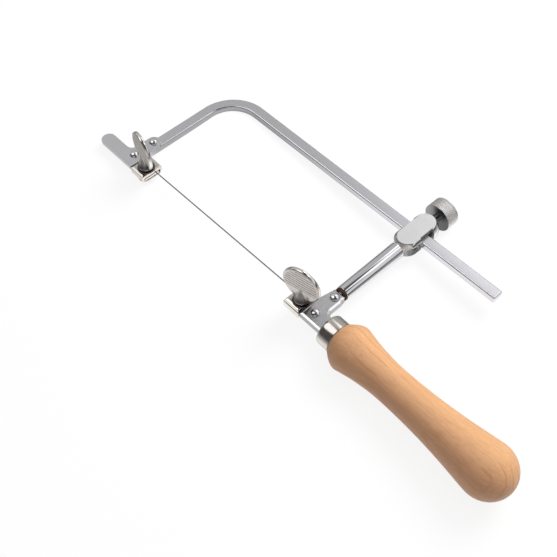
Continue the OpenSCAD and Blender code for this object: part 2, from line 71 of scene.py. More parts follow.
# Air between neighbours whose faces would coincide, and how far hidden ends run into a neighbour.
GAP = 0.05 * MM
SINK = 0.2 * MM
# The slot of the slider block along Y, where painted shade darkens the block's sides, and the heights over
# which a wing screw's neck of painted shade and its polished rim with a painted highlight fade.
SLOT_LOW, SLOT_HIGH = 65.65 * MM, 73.8 * MM
NECK_SHADE_FADE = (7.5 * MM, 10.5 * MM)
RIM_HIGHLIGHT_FADE = (12.0 * MM, 15.0 * MM)
# Length of the painted shadow line on the wood where it meets the ferrule.
SEAM_SHADOW = 0.9 * MM

WHITE = (1.0, 1.0, 1.0, 1.0)


def length(name, description, default):
    """A size in metres with the sidebar's length field."""
    return FloatProperty(
        name=name, description=description, default=default, min=0.0, precision=5,
        subtype="DISTANCE", unit="LENGTH")


def coordinate(name, description, default):
    """A place in metres, of either sign."""
    return FloatProperty(
        name=name, description=description, default=default, precision=5,
        subtype="DISTANCE", unit="LENGTH")


def colour(name, description, default):
    """A linear colour."""
    return FloatVectorProperty(
        name=name, description=description, default=default, size=3, min=0.0, max=1.0,
        subtype="COLOR")


def share(name, description, default):
    """A number from 0 to 1."""
    return FloatProperty(name=name, description=description, default=default, min=0.0, max=1.0)


def turn(name, description, degrees):
    """An angle, given in degrees."""
    return FloatProperty(
        name=name, description=description, default=math.radians(degrees),
        subtype="ANGLE", unit="ROTATION")


def power(name, description, watts):
    """The power of a lamp."""
    return FloatProperty(name=name, description=description, default=watts, min=0.0, unit="POWER")


class FrameSettings(bpy.types.PropertyGroup):
    """Sizes of the bar and the plates on it."""
    bar_width: length("Bar width", "Width of the flat bar", 6.0 * MM)
    bend_radius: length("Bend radius", "Bend on the bar's centre line", 19.3 * MM)
    bar_edge: length("Bar edge", "Rounding along the bar", 0.7 * MM)
    bar_end: length("Bar end", "Rounding of the bar's ends", 0.6 * MM)
    lap_width: length("Lap width", "Width of the front jaw's lap on the bar", 8.0 * MM)
    plate_edge: length("Plate edge", "Bevel of the tip plate", 0.45 * MM)
    jaw_edge: length("Jaw edge", "Bevel of the jaws", 0.45 * MM)
    rim_width: length("Rim width", "Width of the shallow chamfer round the thicker plates", 1.05 * MM)
    rim_drop: length("Rim drop", "Depth of the shallow chamfer", 0.5 * MM)
    rim_edge: length("Rim edge", "Rounding beside the shallow chamfer", 0.15 * MM)
    rivet_radius: length("Rivet radius", "Radius of a domed rivet head", 2.4 * MM)
    rivet_height: length("Rivet height", "Height of a domed rivet head", 1.5 * MM)
    rivet_lower: share("Lower heads", "Height of the lower heads, of the upper heads' height", 0.5)


class ClampSettings(bpy.types.PropertyGroup):
    """Sizes of the wing screws and the blade."""
    head_half_width: length("Head half width", "Half width of the oval head", 9.9 * MM)
    head_half_height: length("Head half height", "Half height of the oval head", 10.6 * MM)
    head_thickness: length("Head thickness", "Thickness of the oval head", 2.2 * MM)
    head_rim: length("Head rim", "Width of the bevelled rim round the head", 0.75 * MM)
    rim_share: share("Rim share", "Thickness at the rim's edge, of the head's", 0.82)
    boss_height: length("Boss height", "Height of the straight boss under the head", 1.7 * MM)
    boss_round: length("Boss edge", "Rounding under the boss", 0.3 * MM)
    neck_radius: length("Neck radius", "Radius of the neck under the head", 4.0 * MM)
    neck_taper: share("Neck taper", "How fast the neck narrows as it rises", 0.42)
    flute_pitch: length("Flute pitch", "Spacing of the grip flutes", 1.7 * MM)
    flute_depth: length("Flute depth", "Depth of a grip flute", 0.2 * MM)
    flute_count: IntProperty(name="Flutes", description="Grip flutes on a face", default=8, min=1)
    flute_start: length("Flute start", "From the lowest flute to the head's middle", 2.6 * MM)
    front_turn: turn("Front turn", "Turn of the front head from the blade", -12.0)
    rear_turn: turn("Rear turn", "Turn of the rear head from the blade", 12.4)
    screw_radius: length("Screw radius", "Radius of the wing screw's shank", 1.9 * MM)
    washer_play: length("Washer play", "Air between the shank and its washer", 0.1 * MM)
    blade_length: length("Blade length", "Length of the fitted blade", 127.0 * MM)
    blade_width: length("Blade width", "Width of the blade with its teeth", 0.7 * MM)
    blade_thickness: length("Blade thickness", "Thickness of the blade", 0.34 * MM)
    blade_plain: length("Plain end", "Length of each end without teeth", 16.5 * MM)
    tooth_pitch: length("Tooth pitch", "Spacing of the teeth", 0.6 * MM)
    tooth_height: length("Tooth height", "Height of a tooth", 0.2 * MM)


class ArmSettings(bpy.types.PropertyGroup):
    """Sizes of the slider block, the rod, the collar and the clamp knob."""
    block_edge: length("Block edge", "Bevel of the slider block", 0.3 * MM)
    rod_low: length("Rod radius below", "Radius of the rod at the collar", 3.7 * MM)
    rod_top: length("Rod radius above", "Radius of the rod at the block", 4.1 * MM)
    rod_rim: length("Rod rim", "Chamfer at the rod's upper end", 0.55 * MM)
    rod_seat: length("Rod seat", "How far the rod enters the block", 0.4 * MM)
    tongue_width: length("Tongue width", "Width of the tongue in the block's fork", 5.5 * MM)
    tongue_thickness: length("Tongue thickness", "Thickness of the tongue", 5.3 * MM)
    tongue_root: length("Tongue root", "How far the tongue starts inside the rod", 1.0 * MM)
    tongue_end: length("Tongue end", "From the blade's line to the tongue's end", 65.0 * MM)
    neck_radius: length("Neck radius", "Radius of the rod inside the collar", 2.0 * MM)
    collar_cover: length("Collar cover", "How far the rod's lip covers the collar", 0.6 * MM)
    clamp_radius: length("Clamp screw radius", "Radius of the clamp screw", 2.4 * MM)
    clamp_seat: length("Clamp screw seat", "How far the clamp screw enters the knob", 0.3 * MM)
    shoe_edge: length("Shoe edge", "Bevel of the clamp shoe", 0.15 * MM)
    knob_edge: length("Knob inner edge", "Rounding towards the block", 0.3 * MM)
    knob_round: length("Knob outer edge", "Rounding of the outer face", 0.8 * MM)
    knob_dish: length("Knob dish", "Depth of the hollow in the outer face", 0.25 * MM)
    knurl_count: IntProperty(name="Knurls", description="Knurl ridges", default=72, min=8)
    knurl_depth: length("Knurl depth", "Depth of the knurling", 0.1 * MM)
    knurl_slant: share("Knurl slant", "Slant of the knurling, of 45 degrees", 0.6)


class HandleSettings(bpy.types.PropertyGroup):
    """Sizes of the turned handle."""
    shoulder: length("Shoulder radius", "Radius at the ferrule", 8.3 * MM)
    bulge: length("Bulge radius", "Radius of the front bulge", 11.9 * MM)
    waist: length("Waist radius", "Radius of the waist", 8.75 * MM)
    bulge_at: length("Bulge place", "From the ferrule to the bulge", 7.6 * MM)
    waist_at: length("Waist place", "From the ferrule to the waist", 32.6 * MM)
    butt_length: length("Butt length", "From the widest ring to the end", 13.3 * MM)
    rest_at: length("Rest place", "From the spigot's end to where the bulge rests", 14.0 * MM)
    ferrule_wall: length("Ferrule wall", "Wall of the ferrule", 0.9 * MM)
    ferrule_front: length("Ferrule front", "Thickness of the ferrule's front", 1.1 * MM)
    ferrule_round: length("Ferrule edge", "Rounding of the ferrule's front", 1.6 * MM)


class FinishSettings(bpy.types.PropertyGroup):
    """Colours of the saw's finishes, and of the painted shade and highlight on some of them."""
    bar: colour("Bar", "Satin plated bar and tip plate", (0.74, 0.74, 0.77))
    cross: colour("Cross plate", "Blasted cross plate", (0.64, 0.64, 0.655))
    block: colour("Block", "Slider block", (0.92, 0.92, 0.925))
    block_end: colour("Block ends", "Round ends of the slider block", (0.92, 0.91, 0.89))
    # Painted shade for the block's sides in the slot's span.
    block_slot_shade: colour("Block slot shade", "Painted shade on the block's side above the spine", (0.17, 0.165, 0.14))
    chrome: colour("Chrome", "Rod and rivets", (0.83, 0.83, 0.85))
    nickel: colour("Nickel", "Warm nickel of clamps and ferrule", (0.74, 0.69, 0.645))
    # Darker copy of the clamps' nickel for the wing screws: painted shade.
    wing: colour("Wing nickel", "Nickel of the wing screws, darkened as painted shade", (0.60, 0.56, 0.525))
    # Polished rim, brightened on its upper part as a painted highlight.
    wing_rim_highlight: colour("Wing rim highlight", "Polished rim of the wing screws, with a painted highlight", (0.92, 0.89, 0.85))
    # Painted shade on the wing screws' necks.
    wing_neck_shade: colour("Wing neck shade", "Painted shade on the neck of the wing screws", (0.16, 0.15, 0.15))
    knob: colour("Knob", "Knurled knob", (0.80, 0.79, 0.775))
    # Painted shade on the knob's face towards the block.
    knob_face_shade: colour("Knob face shade", "Painted shade on the knob's face towards the block", (0.14, 0.14, 0.145))
    dark: colour("Dark steel", "Oiled washers", (0.12, 0.095, 0.085))
    collar: colour("Collar", "Brown ring under the rod", (0.12, 0.075, 0.055))
    blade: colour("Blade", "Hardened blade", (0.30, 0.30, 0.31))
    brass: colour("Brass", "Clamp shoe", (0.72, 0.50, 0.20))
    wood: colour("Wood", "Beech between its lines", (0.78, 0.43, 0.212))
    # Painted shade on the wood's side away from the spine.
    wood_shade: colour("Wood shade", "Painted shade: darker, rosier wood on the side away from the spine", (0.65, 0.345, 0.19))
    wood_line: colour("Wood lines", "Darker growth lines", (0.58, 0.27, 0.125))
    # Painted shadow line on the wood beside the ferrule.
    wood_seam_shadow: colour("Wood seam shadow", "Painted shadow line beside the ferrule", (0.06, 0.035, 0.025))


class StageSettings(bpy.types.PropertyGroup):
    """The photograph's view and the studio."""
    azimuth: turn("Azimuth", "Camera's turn round the saw", 50.06)
    elevation: turn("Elevation", "Camera's height above the flat", 54.77)
    roll: turn("Roll", "Camera's turn about its own axis", -2.92)
    distance: length("Distance", "From the camera to the flat of the saw", 417.07 * MM)
    target_x: coordinate("Target X", "Where the view meets the flat", -18.8 * MM)
    target_y: coordinate("Target Y", "Where the view meets the flat", 2.4 * MM)
    lens: FloatProperty(
        name="Lens", description="Focal length on a 36 mm frame", default=57.0, unit="CAMERA")
    floor_size: length("Floor size", "Side of the floor", 6.0)
    floor_colour: colour("Floor", "Pale floor", (0.93, 0.93, 0.93))
    ceiling: share("Ceiling", "Grey that the flats mirror", 0.41)
    ambient: share("Ambient", "Light from all round on the saw", 0.2)
    lamp_distance: length("Lamp distance", "From the saw to each softbox", 0.9)
    key_power: power("Key power", "Power of the key softbox", 7.2)
    fill_power: power("Fill power", "Power of the fill softbox", 0.1)
    top_power: power("Top power", "Power of the top softbox", 2.3)


class FretSawSettings(bpy.types.PropertyGroup):
    """All of the saw's settings."""
    frame: PointerProperty(type=FrameSettings)
    clamp: PointerProperty(type=ClampSettings)
    arm: PointerProperty(type=ArmSettings)
    handle: PointerProperty(type=HandleSettings)
    finish: PointerProperty(type=FinishSettings)
    stage: PointerProperty(type=StageSettings)


class Graph:
    """Adds nodes to a tree and links them as they are made."""

    def __init__(self, tree):
        self.tree = tree

    def feed(self, socket, value):
        """Links an output to a socket, or sets the socket's own value."""
        if isinstance(value, bpy.types.NodeSocket):
            self.tree.links.new(value, socket)
        else:
            socket.default_value = value

    def add(self, kind, inputs=None, **settings):
        """A node with its settings made and its inputs fed by name or number."""
        node = self.tree.nodes.new(kind)
        for key, value in settings.items():
            setattr(node, key, value)
        for key, value in (inputs or {}).items():
            self.feed(node.inputs[key], value)
        return node

    def result(self, kind, inputs=None, **settings):
        """The first output of a new node."""
        return self.add(kind, inputs, **settings).outputs[0]

    def group(self, tree, values):
        """The outputs of a shader group with its inputs fed by name."""
        return self.add("ShaderNodeGroup", values, node_tree=tree).outputs

    def math(self, operation, *values):
        """The result of a Math node."""
        return self.result("ShaderNodeMath", dict(enumerate(values)), operation=operation)

    def times(self, first, *others):
        """The product of numbers, given or linked."""
        for value in others:
            first = self.math("MULTIPLY", first, value)
        return first

    def plus(self, first, second):
        """The sum of two numbers."""
        return self.math("ADD", first, second)

    def minus(self, first, second):
        """The difference of two numbers."""
        return self.math("SUBTRACT", first, second)

    def over(self, first, second):
        """One number divided by another."""
        return self.math("DIVIDE", first, second)

    def unsigned(self, value):
        """A number without its sign."""
        return self.math("ABSOLUTE", value)

    def larger(self, first, second):
        """The larger of two numbers."""
        return self.math("MAXIMUM", first, second)

    def between(self, factor, first, second):
        """A number on the way from the first to the second."""
        return self.result("ShaderNodeMix", {0: factor, 2: first, 3: second})

    def split(self, vector):
        """The three coordinates of a vector."""
        return self.add("ShaderNodeSeparateXYZ", {0: vector}).outputs

    def point(self, x=0.0, y=0.0, z=0.0):
        """A vector of three coordinates."""
        return self.result("ShaderNodeCombineXYZ", {0: x, 1: y, 2: z})

    def stretched(self, vector, amounts):
        """A vector with each coordinate times its own amount."""
        return self.result("ShaderNodeVectorMath", {0: vector, 1: amounts}, operation="MULTIPLY")

    def along(self, vector, direction):
        """How far a vector reaches in a direction."""
        node = self.add("ShaderNodeVectorMath", {0: vector, 1: direction}, operation="DOT_PRODUCT")
        return node.outputs["Value"]

    def tinted(self, base, *tones):
        """A colour, given or linked, times each tone."""
        shade = base if isinstance(base, bpy.types.NodeSocket) else tuple(base)
        for tone in tones:
            shade = self.result("ShaderNodeVectorMath", {0: shade, "Scale": tone}, operation="SCALE")
        return shade

    def spread(self, value, low, high, to_low=0.0, to_high=1.0, smooth=True):
        """The value mapped from one range to another, held at both ends."""
        return self.result(
            "ShaderNodeMapRange",
            {"Value": value, "From Min": low, "From Max": high, "To Min": to_low, "To Max": to_high},
            interpolation_type="SMOOTHSTEP" if smooth else "LINEAR")

    def blend(self, factor, first, second):
        """A mix of two colours."""
        node = self.add("ShaderNodeMix", {0: factor, 6: first, 7: second}, data_type="RGBA")
        return node.outputs[2]

    def noise(self, vector, scale, detail=2.0, roughness=0.5):
        """Noise from 0 to 1."""
        node = self.add(
            "ShaderNodeTexNoise",
            {"Vector": vector, "Scale": scale, "Detail": detail, "Roughness": roughness})
        return node.outputs["Fac"]


def rgba(linear):
    """A colour property as a socket's four numbers."""
    return (*linear, 1.0)


def new_input(tree, label, default):
    """A tree's named input, of the kind that its default is."""
    kinds = {int: "NodeSocketInt", float: "NodeSocketFloat"}
    kind = kinds.get(type(default)) or {3: "NodeSocketVector", 4: "NodeSocketColor"}[len(default)]
    tree.interface.new_socket(label, in_out="INPUT", socket_type=kind).default_value = default


def shader_group(name, inputs, outputs):
    """A shader group with its named inputs and outputs, ready to be filled."""
    tree = bpy.data.node_groups.new(name, "ShaderNodeTree")
    for label, default in inputs.items():
        new_input(tree, label, default)
    for label, kind in outputs.items():
        tree.interface.new_socket(label, in_out="OUTPUT", socket_type=kind)
    graph = Graph(tree)
    return graph, graph.add("NodeGroupInput").outputs, graph.add("NodeGroupOutput").inputs


def cached(build):
    """Builds a group once and hands back its tree after that."""
    made = {}

    def once():
        if "tree" not in made:
            made["tree"] = build()
        return made["tree"]

    return once


@cached
def satin_flats():
    """Satin flats across Z with a fine mottle, a painted highlight on the slopes, and polished sides with
    painted light or shade in a tone of their own.
    """
    graph, given, out = shader_group(
        "Satin Flats",
        {"Colour": WHITE, "Mottle Size": 0.8 * MM, "Mottle": 0.1, "Flat Roughness": 0.3,
         "Side Roughness": 0.12, "Side Light And Shade": 1.0, "Edge Highlight": 1.0},
        {"Colour": "NodeSocketColor", "Roughness": "NodeSocketFloat", "Height": "NodeSocketFloat"})
    spot = graph.add("ShaderNodeTexCoord").outputs
    scale = graph.over(1.0, given["Mottle Size"])
    coarse = graph.noise(spot["Object"], scale, 3.0, 0.6)
    fine = graph.noise(spot["Object"], graph.times(scale, 5.0))
    grain = graph.plus(graph.times(coarse, 0.65), graph.times(fine, 0.35))
    up = graph.unsigned(graph.split(spot["Normal"])[2])
    flat = graph.spread(up, 0.93, 0.99)
    swing = graph.times(graph.minus(grain, 0.5), given["Mottle"], flat)
    # Painted highlight: slopes that are not flat are brightened by the edge's tone.
    level = graph.between(flat, given["Edge Highlight"], 1.0)
    # Painted light or shade: sides that face across Z take the side's own tone.
    plain = graph.between(graph.spread(up, 0.3, 0.8), given["Side Light And Shade"], level)
    tone = graph.plus(plain, graph.times(swing, 3.0))
    graph.feed(out["Colour"], graph.tinted(given["Colour"], tone))
    rough = graph.between(flat, given["Side Roughness"], given["Flat Roughness"])
    graph.feed(out["Roughness"], graph.plus(rough, swing))
    graph.feed(out["Height"], graph.times(grain, flat))
    return graph.tree


@cached
def draw_lines():
    """Fine lines along one direction, as drawn or turned metal and wood fibre have."""
    graph, given, out = shader_group(
        "Draw Lines", {"Stretch": (40.0, 1500.0, 1500.0), "Depth": 1.0},
        {"Value": "NodeSocketFloat", "Tone": "NodeSocketFloat"})
    place = graph.add("ShaderNodeTexCoord").outputs["Object"]
    lines = graph.noise(graph.stretched(place, given["Stretch"]), 1.0, 3.0, 0.65)
    graph.feed(out["Value"], lines)
    swing = graph.times(graph.minus(lines, 0.5), given["Depth"])
    graph.feed(out["Tone"], graph.plus(1.0, swing))
    return graph.tree


@cached
def handling_marks():
    """Broad faint patches where a finish is duller from handling."""
    graph, given, out = shader_group(
        "Handling Marks", {"Patch Size": 6.0 * MM, "Amount": 0.1},
        {"Roughness": "NodeSocketFloat", "Tone": "NodeSocketFloat"})
    place = graph.add("ShaderNodeTexCoord").outputs["Object"]
    patches = graph.noise(place, graph.over(1.0, given["Patch Size"]), 4.0, 0.6)
    swing = graph.times(graph.minus(patches, 0.5), given["Amount"])
    graph.feed(out["Roughness"], swing)
    graph.feed(out["Tone"], graph.minus(1.0, swing))
    return graph.tree


def new_material(name, metallic=0.0):
    """A material with its Principled shader, and a graph to feed it."""
    material = bpy.data.materials.new(name)
    material.use_nodes = True
    shader = material.node_tree.nodes["Principled BSDF"].inputs
    shader["Metallic"].default_value = metallic
    return material, Graph(material.node_tree), shader


def bump(graph, shader, height, strength, distance):
    """Feeds the shader's normal from a height."""
    graph.feed(shader["Normal"], graph.result(
        "ShaderNodeBump", {"Height": height, "Strength": strength, "Distance": distance}))


def flat_metal(name, base, mottle, size, flat, side, tone=1.0, edge=1.25, depth=0.02 * MM):
    """Plated metal with satin flats, a painted highlight on its edges (edge) and polished sides painted
    lighter or darker (tone).
    """
    material, graph, shader = new_material(name, 1.0)
    satin = graph.group(satin_flats(), {
        "Colour": rgba(base), "Mottle": mottle, "Mottle Size": size, "Flat Roughness": flat,
        "Side Roughness": side, "Side Light And Shade": tone, "Edge Highlight": edge})
    marks = graph.group(handling_marks(), {})
    graph.feed(shader["Base Color"], graph.tinted(satin["Colour"], marks["Tone"]))
    graph.feed(shader["Roughness"], graph.plus(satin["Roughness"], marks["Roughness"]))
    bump(graph, shader, satin["Height"], 0.35, depth)
    return material


def drawn_metal(name, base, stretch, lines, rough):
    """Metal with fine lines along one direction."""
    material, graph, shader = new_material(name, 1.0)
    drawn = graph.group(draw_lines(), {"Stretch": stretch, "Depth": lines})
    marks = graph.group(handling_marks(), {"Amount": 0.08})
    graph.feed(shader["Base Color"], graph.tinted(base, drawn["Tone"], marks["Tone"]))
    polished = max(rough - 0.05, 0.02)
    streaks = graph.spread(drawn["Value"], 0.3, 0.7, polished, rough + 0.06, smooth=False)
    graph.feed(shader["Roughness"], graph.plus(streaks, marks["Roughness"]))
    bump(graph, shader, drawn["Value"], 0.2, 0.004 * MM)
    return material


def overlaid(material, mask, base, rough):
    """Mixes a second colour and roughness into a material where the mask is 1: a duller finish, painted
    shade or a painted highlight, as each mask says.
    """
    graph = Graph(material.node_tree)
    shader = material.node_tree.nodes["Principled BSDF"].inputs
    spot = graph.add("ShaderNodeTexCoord").outputs
    amount = mask(graph, graph.split(spot["Object"]), graph.split(spot["Normal"]))
    tone, dullness = (shader[key].links[0].from_socket for key in ("Base Color", "Roughness"))
    graph.feed(shader["Base Color"], graph.blend(amount, tone, rgba(base)))
    graph.feed(shader["Roughness"], graph.between(amount, dullness, rough))


def slot_mouth_shade(graph, place, facing):
    """Painted shade on the slider block's sides above the spine, over the slot's span."""
    soft = 0.05 * MM
    above = graph.spread(place[1], SLOT_LOW - soft, SLOT_LOW + soft)
    below = graph.spread(place[1], SLOT_HIGH - soft, SLOT_HIGH + soft, 1.0, 0.0)
    return graph.times(above, below, graph.spread(graph.unsigned(facing[2]), 0.9, 0.97, 1.0, 0.0))


def round_end(graph, place, facing):
    """The duller round ends of the slider block."""
    return graph.spread(graph.unsigned(facing[1]), 0.35, 0.75)


def inner_face_shade(graph, place, facing):
    """Painted shade on the knob's flat face towards the block, strongest on the handle's side."""
    return graph.times(graph.spread(facing[1], -0.95, -0.8, 1.0, 0.0),
                       graph.spread(place[0], 1.5 * MM, 9.0 * MM, 0.72, 1.0))


def wing_rim_highlight(graph, place, facing):
    """The polished rim round a wing screw's oval grip, with a painted highlight that fades in towards its
    top.
    """
    edge = graph.spread(graph.unsigned(facing[1]), 0.5, 0.8, 1.0, 0.0)
    return graph.times(edge, graph.spread(place[2], *RIM_HIGHLIGHT_FADE))


def wing_neck_shade(graph, place, facing):
    """Painted shade on the round neck between the washer and the head."""
    return graph.spread(place[2], *NECK_SHADE_FADE, 1.0, 0.0)


def beech(name, finish):
    """Clear-varnished beech: fine fibres, faint growth lines that curve over the butt, short flecks,
    painted shade on the side away from the spine and a painted shadow line beside the ferrule.
    """
    graph, shader = new_material(name)[1:]
    shader["Coat Weight"].default_value = 0.12
    shader["Coat Roughness"].default_value = 0.35
    shader["Specular IOR Level"].default_value = 0.35
    spot = graph.add("ShaderNodeTexCoord").outputs
    place = spot["Object"]
    fibre, broad = (
        graph.group(draw_lines(), {"Stretch": stretch, "Depth": depth})
        for stretch, depth in (((110.0, 3000.0, 3000.0), 0.45), ((38.0, 1250.0, 1250.0), 0.38)))
    sway = graph.noise(graph.stretched(place, (22.0, 90.0, 90.0)), 1.0)
    board = graph.result("ShaderNodeMapping", {"Vector": place, "Rotation": (0.55, 0.06, -0.075)})
    growth = graph.plus(graph.times(graph.split(board)[1], 520.0), graph.times(sway, 2.2))
    lines = graph.spread(graph.math("PINGPONG", growth, 1.0), 0.72, 1.0)
    clouds = graph.spread(graph.noise(place, 70.0), 0.35, 0.65)
    # Painted shade: wood facing away from the spine, and a little wood facing down Z, takes the darker,
    # rosier shade colour.
    facing = graph.split(spot["Normal"])
    lean = graph.plus(graph.times(facing[1], 0.8), graph.times(facing[2], 0.2))
    flecks = graph.noise(graph.stretched(place, (500.0, 4200.0, 4200.0)), 1.0, 0.0)
    # Painted shadow: a dark line on the wood where it meets the ferrule.
    seam = graph.spread(graph.split(place)[0], FERRULE_HIGH.x, FERRULE_HIGH.x + SEAM_SHADOW, 0.85, 0.0)
    shade = graph.blend(graph.spread(lean, -0.6, 0.6), rgba(finish.wood_shade), rgba(finish.wood))
    for amount, over in ((graph.times(lines, clouds, 0.7), finish.wood_line),
                         (graph.times(graph.spread(flecks, 0.64, 0.74), 0.35), finish.wood_line),
                         (seam, finish.wood_seam_shadow)):
        shade = graph.blend(amount, shade, rgba(over))
    graph.feed(shader["Base Color"], graph.tinted(shade, fibre["Tone"], broad["Tone"]))
    graph.feed(shader["Roughness"], graph.spread(fibre["Value"], 0.2, 0.8, 0.40, 0.56))
    bump(graph, shader, fibre["Value"], 0.25, 0.03 * MM)


def palette(finish):
    """Every finish of the saw, made once and kept by name."""
    if "Bar steel" in bpy.data.materials:
        return bpy.data.materials
    # Painted highlight on the edge slopes of each flat metal but the block (edge 1.0); painted shade on
    # the cross plate's sides (tone 0.6) and painted light on the clamps' sides (tone 1.15).
    flat_metal("Bar steel", finish.bar, mottle=0.04, size=0.7 * MM, flat=0.29, side=0.08,
               depth=0.004 * MM)
    flat_metal("Cross steel", finish.cross, mottle=0.2, size=0.9 * MM, flat=0.36, side=0.10,
               tone=0.6, depth=0.05 * MM)
    block = flat_metal("Block steel", finish.block, mottle=0.08, size=0.5 * MM, flat=0.36, side=0.07,
                       edge=1.0)
    overlaid(block, round_end, finish.block_end, 0.5)
    # Painted shade: the block's sides above the spine, in the slot's span, are darkened.
    overlaid(block, slot_mouth_shade, finish.block_slot_shade, 0.4)
    flat_metal("Clamp nickel", finish.nickel, mottle=0.06, size=0.7 * MM, flat=0.24, side=0.16, tone=1.15)
    drawn_metal("Rod chrome", finish.chrome, (2500.0, 25.0, 2500.0), lines=0.06, rough=0.07)
    drawn_metal("Rivet chrome", finish.chrome, (900.0, 900.0, 900.0), lines=0.03, rough=0.05)
    # The wing screws' nickel is a darker copy of the clamps' nickel: painted shade.
    wing = drawn_metal("Wing nickel", finish.wing, (60.0, 60.0, 2600.0), lines=0.14, rough=0.2)
    # Painted highlight: the upper part of each wing's rim is brightened, as well as polished.
    overlaid(wing, wing_rim_highlight, finish.wing_rim_highlight, 0.14)
    # Painted shade: the neck under each wing's grip is darkened.
    overlaid(wing, wing_neck_shade, finish.wing_neck_shade, 0.2)
    drawn_metal("Ferrule nickel", finish.nickel, (2600.0, 60.0, 60.0), lines=0.05, rough=0.15)
    knob = drawn_metal("Knurled steel", finish.knob, (900.0, 900.0, 900.0), lines=0.1, rough=0.25)
    # Painted shade: the knob's face towards the block is darkened, most on the handle's side.
    overlaid(knob, inner_face_shade, finish.knob_face_shade, 0.3)
    drawn_metal("Dark steel", finish.dark, (700.0, 700.0, 700.0), lines=0.2, rough=0.22)
    drawn_metal("Collar brown", finish.collar, (900.0, 60.0, 900.0), lines=0.25, rough=0.4)
    drawn_metal("Blade steel", finish.blade, (60.0, 2600.0, 2600.0), lines=0.25, rough=0.33)
    drawn_metal("Shoe brass", finish.brass, (900.0, 900.0, 900.0), lines=0.1, rough=0.3)
    beech("Beech", finish)
    return bpy.data.materials


def recalculate(mesh):
    """Points the faces of closed shells outwards."""
    work = bmesh.new()
    work.from_mesh(mesh)
    bmesh.ops.recalc_face_normals(work, faces=work.faces)
    work.to_mesh(mesh)
    work.free()


def piece(name, verts, faces=(), material=None, edges=()):
    """A new object from points and faces, or edges, with its faces turned outwards."""
    mesh = bpy.data.meshes.new(name)
    mesh.from_pydata([tuple(v) for v in verts], list(edges), list(faces))
    if faces:
        recalculate(mesh)
    obj = bpy.data.objects.new(name, mesh)
    bpy.context.scene.collection.objects.link(obj)
    if material:
        mesh.materials.append(material)
    return obj


def settled(obj):
    """Turns the object's modifiers into its own plain mesh."""
    bpy.context.view_layer.update()
    graph = bpy.context.evaluated_depsgraph_get()
    mesh = bpy.data.meshes.new_from_object(obj.evaluated_get(graph))
    obj.modifiers.clear()
    obj.data = mesh
    return obj


def bevelled(obj, width, segments=3, angle=35.0):
    """Rounds the sharp edges and keeps the flats flat."""
    if width > 0.0:
        modifier = obj.modifiers.new("Edges", "BEVEL")
        modifier.width = width
        modifier.segments = segments
        modifier.limit_method = "ANGLE"
        modifier.angle_limit = math.radians(angle)
        modifier.miter_outer = "MITER_ARC"
        modifier.harden_normals = True
        modifier.face_strength_mode = "FSTR_ALL"
        for face in obj.data.polygons:
            face.use_smooth = True
        flats = obj.modifiers.new("Flats", "WEIGHTED_NORMAL")
        flats.keep_sharp = True
        flats.use_face_influence = True
        settled(obj)
    return obj


def smoothed(obj, angle=32.0):
    """Smooth shading with the sharp edges kept."""
    obj.data.shade_smooth()
    obj.data.set_sharp_from_angle(angle=math.radians(angle))
    return obj


def cad_copy(node, name, material):
    """A copy of a frame node with its loose triangles joined into clean faces."""
    work = bmesh.new()
    work.from_mesh(frame["nodes"][node].data)
    bmesh.ops.remove_doubles(work, verts=work.verts, dist=0.001 * MM)
    bmesh.ops.dissolve_limit(
        work, angle_limit=math.radians(0.4), verts=work.verts, edges=work.edges,
        use_dissolve_boundaries=False, delimit=set())
    mesh = bpy.data.meshes.new(name)
    work.to_mesh(mesh)
    work.free()
    mesh.materials.append(material)
    obj = bpy.data.objects.new(name, mesh)
    bpy.context.scene.collection.objects.link(obj)
    return obj


def join(first, *others):
    """Makes other closed shells part of the first."""
    with bpy.context.temp_override(
            active_object=first, selected_editable_objects=[first, *others],
            selected_objects=[first, *others]):
        bpy.ops.object.join()


def chamfer(obj, width, drop):
    """Slopes the rim of the top and bottom faces: a shallow, wide chamfer."""
    work = bmesh.new()
    work.from_mesh(obj.data)
    reach = max(v.co.z for v in work.verts)
    for way in (1, -1):
        flats = [f for f in work.faces
                 if f.normal.z * way > 0.999 and abs(f.calc_center_median().z * way - reach) < 0.01 * MM]
        slopes = bmesh.ops.inset_region(work, faces=flats, thickness=width, use_even_offset=True)["faces"]
        level = {v for f in flats for v in f.verts}
        for v in {v for f in slopes for v in f.verts} - level:
            v.co.z -= way * drop
    work.to_mesh(obj.data)
    work.free()


def outline(corners, steps=5, closed=False):
    """A profile through (along, radius, rounding) corners, each rounded by its own size."""
    points = []
    count = len(corners)
    for i, (x, y, size) in enumerate(corners):
        here = Vector((x, y))
        if size <= 0.0 or (not closed and i in (0, count - 1)):
            points.append(here)
            continue
        before = Vector(corners[i - 1][:2]) - here
        after = Vector(corners[(i + 1) % count][:2]) - here
        half = before.angle(after) / 2
        reach = min(size / math.tan(half), before.length * 0.49, after.length * 0.49)
        start = here + before.normalized() * reach
        end = here + after.normalized() * reach
        for k in range(steps + 1):
            t = k / steps
            points.append(start * (1 - t) ** 2 + here * (2 * t * (1 - t)) + end * t ** 2)
    return points


